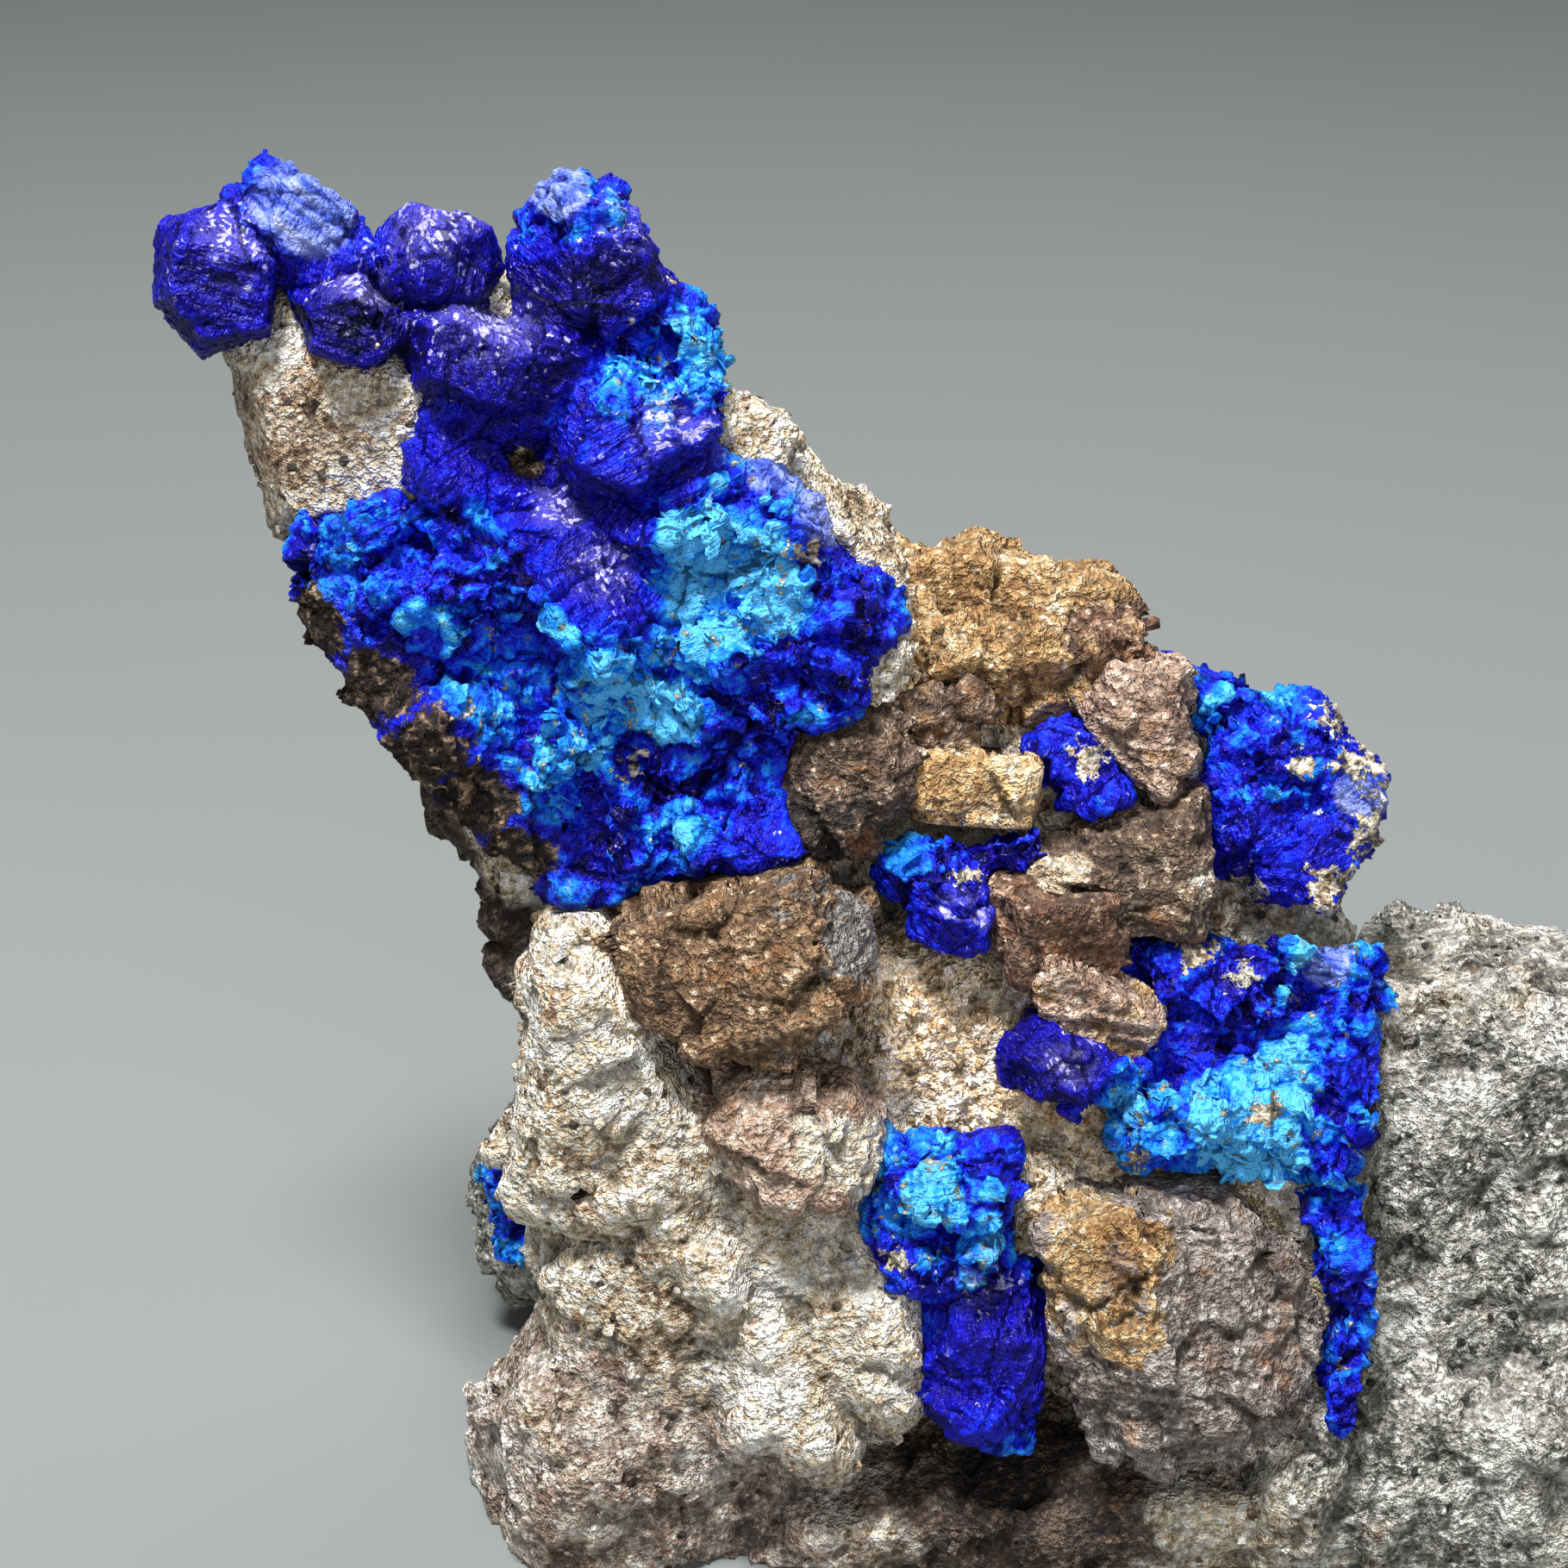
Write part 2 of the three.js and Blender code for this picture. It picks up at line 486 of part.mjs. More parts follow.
// The small crystals of a crust, each seated where it is seen on the ground, leaning at random.
function crustCrystals(ground, { seen, reach, count, half }, seed) {
  const random = seeded(seed);
  const up = new THREE.Vector3(0, 0, 1);
  const crystals = [];
  for (let i = 0; i < count; i++) {
    const way = 2 * Math.PI * random();
    const share = Math.sqrt(random());
    const x = seen[0] + reach[0] * share * Math.cos(way);
    const z = seen[1] + reach[1] * share * Math.sin(way);
    const width = between(half, random());
    const lean = new THREE.Vector3(random() - 0.5, random() - 0.5, random() - 0.5);
    const spin = new THREE.Quaternion().setFromAxisAngle(up, Math.PI * random());
    const hit = sighted(ground, EYE, new THREE.Vector3(x, 0, z));
    if (!hit) continue;
    const axis = hit.face.normal.clone().addScaledVector(lean, CRUST.lean).normalize();
    const turn = new THREE.Quaternion().setFromUnitVectors(up, axis).multiply(spin);
    const sizes = [width, CRUST.thickness * width, CRUST.length * width];
    crystals.push({ at: hit.point.toArray(), half: sizes, turn });
  }
  return crystals;
}

// The lump to take out of a growth for a pit, with its middle where the pit is seen.
function pitIn(growth, { seen, half }, seed) {
  const at = sighted(growth, EYE, new THREE.Vector3(seen[0], 0, seen[1])).point.toArray();
  return hull(boulderCorners(seed, PIT_CORNERS), { at, half, turn: [-25, 0, 0] }, 0);
}

// The matrix before anything is set in it, cut flat at the base
const base = solidOf(new THREE.BoxGeometry(2 * FAR, 2 * FAR, FAR).translate(0, 0, FAR / 2));
const lumps = Object.values(LUMPS).map((lump, i) =>
  hull(boulderCorners(100 + i, BOULDER.corners, lump.squareness), lump, 0),
);
const core = joined([...lumps, plate(ARM, 0), plate(SPIRE, 0)]);
const hollows = HOLLOWS.map((hollow, i) => hull(boulderCorners(200 + i, PIT_CORNERS), hollow, 0));
const rough = joined([core, ...knobs(meshOf(core, FINISH.matrix))]).intersect(base).subtract(joined(hollows));

// Rock fragments, each kept clear of those before it
const pieces = [];
let taken = NOTHING;
function addClast(name, solid, socket) {
  pieces.push({ name, finish: FINISH.clast, solid: mainBody(solid.subtract(taken).intersect(base)) });
  taken = taken.add(socket);
}
for (const [name, form] of Object.entries(CLAST_CORNERS)) {
  addClast(name, cornered(form, 0), cornered(form, 2 * GAP));
}
for (const [name, form] of Object.entries(CLAST_PLATES)) addClast(name, plate(form, 0), plate(form, GAP));
Object.entries(CLAST_BLOCKS).forEach(([name, form], i) =>
  addClast(name, hull(blockCorners(300 + i), form, 0), hull(BOX_CORNERS, form, GAP)),
);

// Azurite grew last, round the fragments: each growth is one solid of crystals on its sheets
Object.entries(GROWTHS).forEach(([name, form], i) => {
  const sheets = (grow) => form.sheets.map((sheet) => plate({ ...form.backing, ...sheet }, grow));
  const ground = meshOf(joined([rough, ...sheets(0)]), FINISH.azurite);
  const small = form.crusts.flatMap((crust, j) => crustCrystals(ground, crust, 500 + 20 * i + j));
  const growth = (grow) => {
    const seated = joined([
      ...sheets(grow),
      ...form.seated.map((crystal, j) => hull(tableCorners(700 + 100 * i + j), crystal, grow)),
      ...small.map((crystal, j) => hull(chipCorners(2000 + 100 * i + j), crystal, grow)),
    ]).intersect(inFrontOf(form.backing, grow));
    const free = form.free.map((crystal, j) => hull(tableCorners(750 + 100 * i + j), crystal, grow));
    return joined([seated, ...free]);
  };
  const whole = growth(0);
  const pits = form.pits.map((pit, j) => pitIn(meshOf(whole, FINISH.azurite), pit, 3000 + j));
  const open = pits.reduce((left, pit) => left.subtract(pit), whole);
  pieces.push({ name, finish: FINISH.azurite, solid: mainBody(open.subtract(taken).intersect(base)) });
  taken = taken.add(growth(GAP));
});
pieces.unshift({ name: "matrix", finish: FINISH.matrix, solid: mainBody(rough.subtract(taken)) });

// The specimen: its pieces fitted to the box, with the middle of the base at the origin
const specimen = new THREE.Group();
for (const { name, finish, solid } of pieces) {
  const mesh = meshOf(solid, finish);
  mesh.name = name;
  specimen.add(mesh);
}
const box = new THREE.Box3().setFromObject(specimen, true);
const size = box.getSize(new THREE.Vector3());
const middle = box.getCenter(new THREE.Vector3());
specimen.scale.set(SPECIMEN.length / size.x, SPECIMEN.depth / size.y, SPECIMEN.height / size.z);
specimen.position.set(-middle.x, -middle.y, -box.min.z).multiply(specimen.scale);

export default specimen;
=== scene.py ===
"""Azurite specimen: a leaning piece of breccia with blue crystals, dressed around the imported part."""

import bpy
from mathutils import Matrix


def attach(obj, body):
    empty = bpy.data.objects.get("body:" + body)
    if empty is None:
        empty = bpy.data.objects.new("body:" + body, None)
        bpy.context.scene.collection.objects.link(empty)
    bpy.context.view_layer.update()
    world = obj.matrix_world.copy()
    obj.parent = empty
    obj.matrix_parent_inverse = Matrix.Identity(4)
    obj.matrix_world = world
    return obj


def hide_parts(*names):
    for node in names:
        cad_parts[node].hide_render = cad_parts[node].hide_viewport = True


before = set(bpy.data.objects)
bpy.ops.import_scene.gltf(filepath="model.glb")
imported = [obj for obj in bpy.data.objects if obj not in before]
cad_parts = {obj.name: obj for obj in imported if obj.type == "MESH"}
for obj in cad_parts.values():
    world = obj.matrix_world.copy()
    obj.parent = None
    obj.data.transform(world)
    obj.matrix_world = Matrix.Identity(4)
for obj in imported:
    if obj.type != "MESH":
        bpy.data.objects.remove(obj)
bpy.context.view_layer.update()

import math

import bmesh
import bpy
import numpy as np
from bpy.props import FloatProperty, FloatVectorProperty, IntProperty, PointerProperty
from mathutils import Vector
from mathutils.bvhtree import BVHTree

bl_info = {
    "name": "Azurite specimen",
    "version": (1, 0, 0),
    "blender": (4, 5, 0),
    "location": "View3D > Sidebar > Specimen",
    "description": "Dresses a packed mineral specimen with rock, rock fragments, crystals and grains",
    "category": "Object",
}

# Shapes are worked in millimetres and go back to metres when a piece is finished.
MM = 0.001

# The place the specimen is looked at from, in millimetres.
EYE_TARGET = Vector((-8.8, 0.0, 19.1))
EYE_DISTANCE = 93.0
EYE_ELEVATION = math.radians(25.0)
EYE = EYE_TARGET + EYE_DISTANCE * Vector((0.0, -math.cos(EYE_ELEVATION), math.sin(EYE_ELEVATION)))

MATRIX = "matrix"
GROWTHS = (
    "azurite_arm",
    "azurite_right",
    "azurite_valley",
    "azurite_upper",
    "azurite_slab",
    "azurite_front",
    "azurite_spot",
)


def paint(red, green, blue):
    """A colour given as screen values from 0 to 255, as linear light."""
    shares = (red / 255, green / 255, blue / 255)
    return tuple(s / 12.92 if s < 0.04045 else ((s + 0.055) / 1.055) ** 2.4 for s in shares)


def shades(*colours):
    """Rock colours from the darkest grains to the palest ones."""
    return tuple(paint(*colour) for colour in colours)


TAN_ROCK = shades((90, 64, 42), (172, 144, 110), (222, 204, 174), (242, 233, 214), (254, 252, 247))
CREAM_ROCK = shades((128, 98, 70), (200, 176, 142), (232, 218, 192), (247, 241, 228), (254, 253, 250))
GREY_ROCK = shades((34, 33, 31), (98, 96, 89), (154, 152, 142), (200, 197, 186), (246, 244, 236))
STEEL_ROCK = shades((62, 58, 56), (112, 107, 103), (148, 142, 136), (180, 173, 165), (216, 210, 202))
ROSE_ROCK = shades((78, 58, 50), (132, 108, 96), (168, 148, 134), (202, 186, 172), (234, 226, 216))
BROWN_ROCK = shades((34, 25, 20), (78, 60, 48), (118, 95, 77), (160, 135, 112), (222, 204, 182))
DRAB_ROCK = shades((42, 29, 20), (94, 69, 47), (136, 105, 76), (178, 146, 111), (228, 206, 174))
DARK_ROCK = shades((14, 11, 11), (32, 25, 23), (56, 44, 38), (84, 68, 58), (120, 102, 88))
GOLDEN_ROCK = shades((124, 86, 48), (192, 146, 90), (224, 184, 126), (242, 214, 168), (253, 243, 220))
OCHRE_ROCK = shades((82, 54, 30), (148, 108, 64), (190, 150, 98), (222, 192, 146), (246, 232, 204))
TAUPE_ROCK = shades((66, 56, 52), (120, 106, 98), (158, 146, 138), (194, 184, 176), (232, 226, 218))
PINK_ROCK = shades((84, 60, 50), (152, 120, 102), (194, 164, 142), (224, 202, 182), (248, 238, 226))
UMBER_ROCK = shades((64, 46, 36), (130, 102, 80), (172, 144, 116), (212, 190, 160), (250, 242, 226))
REDDISH_ROCK = shades((44, 28, 20), (92, 62, 46), (130, 94, 72), (168, 132, 106), (220, 196, 172))

# Each rock fragment: its colours, a second colouring in patches or round one place, how far its layers
# stand out, and how deep its broken planes are.
FRAGMENTS = {
    "ledge_block": {"colours": DRAB_ROCK, "patches": STEEL_ROCK, "layers": 0.10, "planes": 1.0,
                    "patch_at": ((-7.2, -6.0, 17.8), 1.4)},
    "rear_block": {"colours": OCHRE_ROCK, "patches": REDDISH_ROCK, "layers": 0.10, "planes": 1.5,
                   "patch_at": ((0.4, 0.4, 22.6), 2.0)},
    "pointed_chip": {"colours": BROWN_ROCK, "patches": TAN_ROCK, "layers": 0.45, "planes": 0.5,
                     "patch_at": ((-1.9, -4.0, 18.8), 0.8)},
    "front_block": {"colours": TAUPE_ROCK, "patches": OCHRE_ROCK, "layers": 0.20, "planes": 1.0,
                    "patch_at": ((-0.8, -8.5, 9.2), 2.0)},
    "wedge_chip": {"colours": PINK_ROCK, "patches": OCHRE_ROCK, "layers": 0.35, "planes": 0.9,
                   "patch_at": ((1.4, -1.6, 20.4), 0.8)},
    "pebble": {"colours": REDDISH_ROCK, "patches": BROWN_ROCK, "layers": 0.0, "planes": 0.4},
    "sliver": {"colours": PINK_ROCK, "patches": OCHRE_ROCK, "layers": 0.35, "planes": 0.5},
    "pink_block": {"colours": PINK_ROCK, "patches": CREAM_ROCK, "layers": 0.10, "planes": 0.9,
                   "patch_at": ((-7.2, -8.0, 12.6), 1.2)},
    "dark_block": {"colours": BROWN_ROCK, "patches": DARK_ROCK, "layers": 0.10, "planes": 1.1,
                   "patch_at": ((-7.6, -3.6, 19.6), 1.2)},
    "upper_chip": {"colours": BROWN_ROCK, "patches": OCHRE_ROCK, "layers": 0.20, "planes": 1.0},
    "ochre_chip": {"colours": GOLDEN_ROCK, "patches": OCHRE_ROCK, "layers": 0.10, "planes": 0.9},
}

# Colours of the zones of the matrix, laid over its tan one after the other.
ZONE_COLOURS = {
    "grey": GREY_ROCK,
    "rose": ROSE_ROCK,
    "brown": UMBER_ROCK,
    # Dark rock, also used as painted shade under the arm and the front block.
    "dark": DARK_ROCK,
    "cream": CREAM_ROCK,
}

# Where the matrix changes colour: middle and reach of each patch, in millimetres.
ROCK_ZONES = {
    "grey": (
        ((14, -2, 6), 12.0),
        ((23, 0, 6), 12.0),
        ((9.5, -5, 10), 6.0),
        ((9.0, -8, 4), 6.0),
        ((-17.3, 3, 3.5), 4.2),
        ((6, 5, 15), 7.0),
    ),
    "rose": (
        ((-14.0, -6, 2.0), 5.0),
        ((-9.5, -8, 2.0), 3.4),
        ((-13.4, -6, 14.0), 1.6),
        ((-4.0, 9.0, 4.0), 3.4),
    ),
    "brown": (
        ((-22.2, -1, 29.6), 1.9),
        ((-6, 8, 10), 6.0),
        ((-18.2, 3.5, 20.0), 5.6),
        ((-16.8, 4.0, 14.0), 5.2),
    ),
    # Partly dark rock and partly painted shade: the patches under the arm are dark rock darkened further
    # where shade falls, and the patch low at the front is painted shade under the overhanging front block.
    "dark": (
        ((-19.5, 1, 24.0), 4.0),
        ((-17.5, 3, 19.0), 4.0),
        ((-2.5, -8.0, 0.6), 4.5),
        ((-16.5, 3.5, 12.0), 3.0),
        ((-16.4, 0.5, 15.4), 3.4),
        ((-17.2, 3.0, 16.0), 3.0),
        ((-16.6, -2.2, 15.4), 2.0),
        ((-17.2, 0.0, 17.4), 2.4),
    ),
    "cream": (
        ((-12.6, -6, 15.0), 3.6),
        ((-18.6, -3, 29.0), 2.1),
        ((-8.0, -8, 8.0), 3.2),
        ((-13.0, 6.0, 25.0), 3.0),
        ((0.0, 8.0, 12.0), 2.6),
    ),
}

# Brighter and deeper places of the azurite as the viewer sees them on the plane through the middle
# of the specimen: place along the length, height, reach, and from 0 deep violet to 1 turquoise, or
# more where it is brightest.
BLUE_SPOTS = (
    (-22.8, 33.2, 1.5, 0.24),
    (-20.6, 34.7, 1.7, 0.55),
    (-19.6, 32.4, 1.0, 0.10),
    (-17.4, 33.9, 1.3, 0.26),
    (-16.3, 31.4, 1.5, 0.20),
    (-14.3, 35.0, 1.2, 0.58),
    (-13.6, 32.3, 1.4, 0.14),
    (-12.0, 30.7, 1.3, 0.92),
    (-13.0, 29.4, 1.1, 0.46),
    (-17.0, 28.7, 1.3, 0.34),
    (-16.7, 25.5, 1.3, 0.62),
    (-20.0, 25.6, 1.5, 0.62),
    (-14.5, 26.8, 1.4, 0.30),
    (-13.2, 25.0, 1.3, 0.34),
    (-11.2, 28.4, 1.0, 0.36),
    (-9.9, 27.4, 0.8, 0.80),
    (-10.3, 25.1, 1.6, 1.30),
    (-10.5, 23.3, 1.2, 0.98),
    (-15.2, 22.0, 1.7, 0.72),
    (-12.5, 21.6, 1.4, 0.94),
    (-9.4, 21.9, 1.3, 0.58),
    (-13.9, 19.8, 1.4, 0.76),
    (-11.2, 18.8, 1.5, 0.62),
    (-12.6, 17.4, 1.4, 0.56),
    (-9.8, 17.2, 1.3, 0.42),
    (-8.6, 28.4, 1.6, 0.62),
    (-7.3, 26.5, 1.5, 0.48),
    (-6.7, 23.8, 1.3, 0.52),
    (0.9, 22.5, 1.2, 0.48),
    (4.2, 20.4, 1.4, 0.60),
    (6.2, 18.6, 1.2, 0.50),
    (3.8, 16.8, 1.4, 0.40),
    (-1.2, 19.6, 1.3, 0.42),
    (-4.8, 16.4, 1.2, 0.58),
    (-4.2, 15.2, 1.0, 0.36),
    (2.3, 13.1, 1.6, 0.52),
    (5.6, 12.8, 1.4, 0.74),
    (-1.6, 10.1, 1.4, 0.20),
    (1.1, 8.4, 1.4, 0.82),
    (4.2, 8.4, 1.5, 1.02),
    (6.7, 7.6, 1.0, 0.78),
    (-5.4, 6.5, 1.2, 0.74),
    (-3.6, 5.0, 1.1, 0.70),
    (-2.1, 1.2, 1.3, 0.26),
    (-3.8, -0.5, 1.2, 0.34),
    (-0.7, -2.4, 0.9, 0.66),
    (5.7, 4.2, 1.0, 0.62),
    (7.1, 1.2, 0.9, 0.70),
    (-16.2, 6.2, 1.5, 0.62),
)

# Pale, streaked cleavage faces, given in the same way.
PALE_SPOTS = (
    (-20.7, 34.9, 1.4),
    (-14.4, 35.3, 0.8),
    (-8.7, 28.6, 1.3),
    (-7.6, 26.8, 1.0),
    (6.6, 18.9, 0.8),
    (6.1, 13.6, 0.7),
)

# Colours across the streaks of those faces.
STREAK_COLOURS = (
    (0.34, paint(30, 34, 70)),
    (0.44, paint(62, 84, 190)),
    (0.54, paint(128, 146, 222)),
    (0.70, paint(182, 190, 234)),
)

# Sugary faces of the large crystals, where a sheen and glints are painted, given in the same way.
PAINTED_SHEEN_SPOTS = (
    (-22.4, 33.8, 1.3),
    (-19.4, 32.8, 1.0),
    (-17.2, 34.2, 1.5),
    (-16.2, 31.9, 1.6),
    (-12.9, 34.2, 1.0),
    (-11.6, 29.0, 1.4),
    (-13.6, 25.3, 1.1),
    (-14.6, 27.0, 0.9),
    (-3.9, 15.2, 1.1),
    (-3.4, 3.4, 1.1),
    (-0.9, 10.4, 0.9),
    (7.0, 18.0, 1.0),
)

# Earthy places of the azurite, given in the same way.
EARTHY_SPOTS = (
    (-21.2, 23.6, 1.1),
    (-19.6, 21.9, 1.3),
    (-18.2, 20.2, 1.3),
    (-17.0, 18.6, 1.3),
    (-16.0, 17.2, 1.0),
    (-15.4, 28.2, 0.5),
)

# Bits of the grey and tan rock grown into the azurite, given in the same way.
GRITTY_SPOTS = (
    (5.7, 21.2, 0.8),
    (6.6, 19.6, 1.1),
    (7.0, 17.6, 1.1),
    (4.9, 19.7, 0.6),
    (6.0, 16.0, 1.1),
    (3.6, 16.0, 0.8),
    (-0.5, 19.9, 0.7),
    (-3.9, 16.4, 0.5),
    (2.4, 14.0, 0.8),
    (3.8, 13.4, 0.8),
    (4.7, 9.0, 0.7),
    (1.1, 7.4, 0.6),
    (-5.6, 4.3, 0.7),
    (-8.3, 25.7, 0.7),
    (-12.9, 19.6, 0.6),
    (-8.8, 29.7, 0.6),
)

# The flat broken face high on the arm: its middle and its reach.
FLAT_FACE = ((-20.3, -2.4, 29.2), 3.2)

# Where loose sand lies on the matrix, which is also painted lighter there.
SANDY = (
    ((-6.0, -3.2, 14.9), 2.4),
    ((-4.4, -4.3, 13.6), 3.2),
    ((-3.2, -4.8, 12.1), 2.4),
    ((-6.0, -6.5, 12.5), 2.0),
    ((-1.4, -4.8, 11.4), 1.6),
)


# How the matrix is roughened, in millimetres.
MATRIX_RELIEF = {
    "Lump Size": 2.4,
    "Lump Height": 0.45,
    "Chip Size": 1.5,
    "Chip Height": 0.55,
    "Grain Height": 0.14,
    "Pit Depth": 0.22,
    "Layer Height": 0.0,
    "Swell": 0.17,
}

# How every rock fragment is roughened, apart from its own planes and layers.
FRAGMENT_RELIEF = {
    "Lump Size": 1.8,
    "Lump Height": 0.08,
    "Chip Size": 1.7,
    "Grain Height": 0.05,
    "Pit Depth": 0.08,
    "Swell": 0.12,
}

# How the crystals are roughened, apart from the width of their sugary facets.
CRYSTAL_RELIEF = {
    "Step Size": 1.1,
    "Step Height": 0.50,
    "Sugar Height": 0.26,
    "Line Gap": 0.34,
    "Line Height": 0.06,
    "Plate Size": 1.6,
    "Plate Height": 0.50,
    "Swell": 0.08,
}

# The share of the way that a surface is pressed onto flat facets, and the most that it moves, as a
# share of the gap between them.
MATRIX_PRESS = 0.6
CRYSTAL_PRESS = 0.8
MOST_PRESS = 0.15

# The height about which the small crystals of a growth give way to the large ones.
BARE_ABOVE = 26.0

# The room that a copy needs in front of it, and the height below which none is set, in millimetres.
BIT_ROOM = 2.2
CRYSTAL_ROOM = 1.2
FLAKE_ROOM = 0.6
GRAIN_ROOM = 0.5
LOWEST_COPY = 0.35

# How far from a fragment sand still gathers, and how close corners are merged, in millimetres.
SAND_REACH = 0.9
MERGE_DISTANCE = 0.0005

# How far patches and spots fade out, as a share of their reach.
PATCH_FADE = 1.5
SPOT_FADE = 1.6
TONE_FADE = 1.7

# Tone of the azurite away from all spots, and its weight beside them.
PLAIN_TONE = 0.5
PLAIN_WEIGHT = 0.02

# Rounds of blur that find small ridges, and the wide swells of rock and crystals.
RIDGE_ROUNDS = 3
ROCK_SWELL_ROUNDS = 30
CRYSTAL_SWELL_ROUNDS = 24

# Depth of the finest relief of each finish, in metres.
MATRIX_BUMP = 0.00028
FRAGMENT_BUMP = 0.00024
CRYSTAL_BUMP = 0.00022

# Widths of what the finishes draw on rock and crystals, in millimetres.
GRAIN_WIDTH = 0.26
TINY_GRAIN_WIDTH = 0.13
FINE_GRAIN_WIDTH = 0.18
ROCK_PATCH_WIDTH = 2.2
FACET_WIDTH = 0.14
FINE_FACET_WIDTH = 0.16
MOTTLE_WIDTH = 1.0
CLUMP_WIDTH = 0.5

# Gloss of the crystals, the same all over them.
CRYSTAL_GLOSS = {
    "Specular IOR Level": 0.24,
    "Coat Roughness": 0.18,
    "Coat IOR": 1.7,
}

# Where the five shades of a rock lie between its darkest and palest grains.
SHADE_PLACES = (0.0, 0.3, 0.55, 0.78, 1.0)

# A whole turn in radians, and the middle of all random colours.
FULL_TURN = 6.28
HALF = (0.5, 0.5, 0.5)

# The studio: each light's size and place, the floor's side and what the camera sees, in metres, the
# sky's colour, and the width of the camera's sensor in millimetres.
LIGHTS = {
    "key": (0.06, (-0.05, -0.06, 0.24)),
    "top": (0.10, (0.02, 0.08, 0.19)),
    "fill": (0.20, (0.04, -0.26, 0.12)),
}
FLOOR_SIDE = 4.0
NEAREST_SEEN = 0.005
FARTHEST_SEEN = 20.0
SKY_COLOUR = (0.93, 0.97, 1.0, 1.0)
SENSOR_WIDTH = 36.0


# Settings

def length(name, description, default):
    """A size in metres."""
    return FloatProperty(name=name, description=description, default=default, precision=5, unit="LENGTH")


def number(name, description, default):
    """A plain number."""
    return FloatProperty(name=name, description=description, default=default)


def strength(name, description, default):
    """The power of a light."""
    return FloatProperty(name=name, description=description, default=default, unit="POWER")


def tint(name, description, default):
    """A colour."""
    return FloatVectorProperty(name=name, description=description, default=default, subtype="COLOR")


def random_start(default):
    """The start of random choices."""
    return IntProperty(name="Seed", description="Start of the random choices", default=default)


class RockSettings(bpy.types.PropertyGroup):
    """Sizes of the matrix and the rock fragments."""

    matrix_cell: length("Matrix cell", "Size of the cells that the matrix is rebuilt from", 0.00023)
    fragment_cell: length("Fragment cell", "Size of the cells that the fragments are rebuilt from", 0.00011)
    break_size: length("Break size", "Distance between the broken faces of the matrix", 0.0019)
    bit_size: length("Bit size", "Half width of the largest bits of rock in the matrix", 0.0011)
    bit_density: number("Bits", "Bits of rock on a square millimetre of the matrix", 0.16)
    grain_size: length("Grain size", "Half width of the largest sand grains", 0.00028)
    grain_density: number("Grains", "Sand grains on a square millimetre where they are thickest", 14.0)
    seed: random_start(11)


class AzuriteSettings(bpy.types.PropertyGroup):
    """Sizes and colours of the azurite."""

    crystal_cell: length("Crystal cell", "Size of the cells that the crystals are rebuilt from", 0.00011)
    small_crystal: length("Small crystal", "Half width of the largest crystals of the crust", 0.00062)
    crystal_density: number("Small crystals", "Small crystals on a square millimetre", 0.5)
    flake_size: length("Flake size", "Half width of the largest thin crystals", 0.00040)
    flake_density: number("Flakes", "Thin crystals on a square millimetre where they are thickest", 5.5)
    facet_size: length("Facet size", "Distance between the flat facets of the large crystals", 0.0019)
    sugar_size: length("Sugar size", "Width of the sugary facets on the crystals", 0.00034)
    violet: tint("Violet", "Colour of the deepest crystals", paint(13, 4, 103))
    ultramarine: tint("Ultramarine", "Colour of most crystals", paint(16, 7, 168))
    royal: tint("Royal blue", "Colour of thinner crystals", paint(14, 42, 226))
    azure: tint("Azure", "Colour of the crusts", paint(12, 112, 242))
    turquoise: tint("Turquoise", "Colour of the brightest crusts", paint(38, 156, 246))
    seed: random_start(23)


class StageSettings(bpy.types.PropertyGroup):
    """The floor, the light and the lens."""

    floor_colour: tint("Floor", "Colour of the floor", paint(127, 131, 130))
    focal_length: number("Focal length", "Focal length of the lens in millimetres", 80.0)
    key_power: strength("Key light", "Strength of the main light", 1.10)
    fill_power: strength("Fill light", "Strength of the light from the front", 0.28)
    top_power: strength("Top light", "Strength of the light from above and behind", 0.13)
    sky: number("Sky", "Strength of the light from all round", 0.13)


# Node trees

class Wire:
    """The output of a node, for use in plain arithmetic."""

    def __init__(self, tree, socket):
        self.tree = tree
        self.socket = socket

    def __add__(self, other):
        return self.tree.math("ADD", self, other)

    def __sub__(self, other):
        return self.tree.math("SUBTRACT", self, other)

    def __rsub__(self, other):
        return self.tree.math("SUBTRACT", other, self)

    def __mul__(self, other):
        return self.tree.math("MULTIPLY", self, other)

    def __truediv__(self, other):
        return self.tree.math("DIVIDE", self, other)

    def __rtruediv__(self, other):
        return self.tree.math("DIVIDE", other, self)

    __radd__ = __add__
    __rmul__ = __mul__


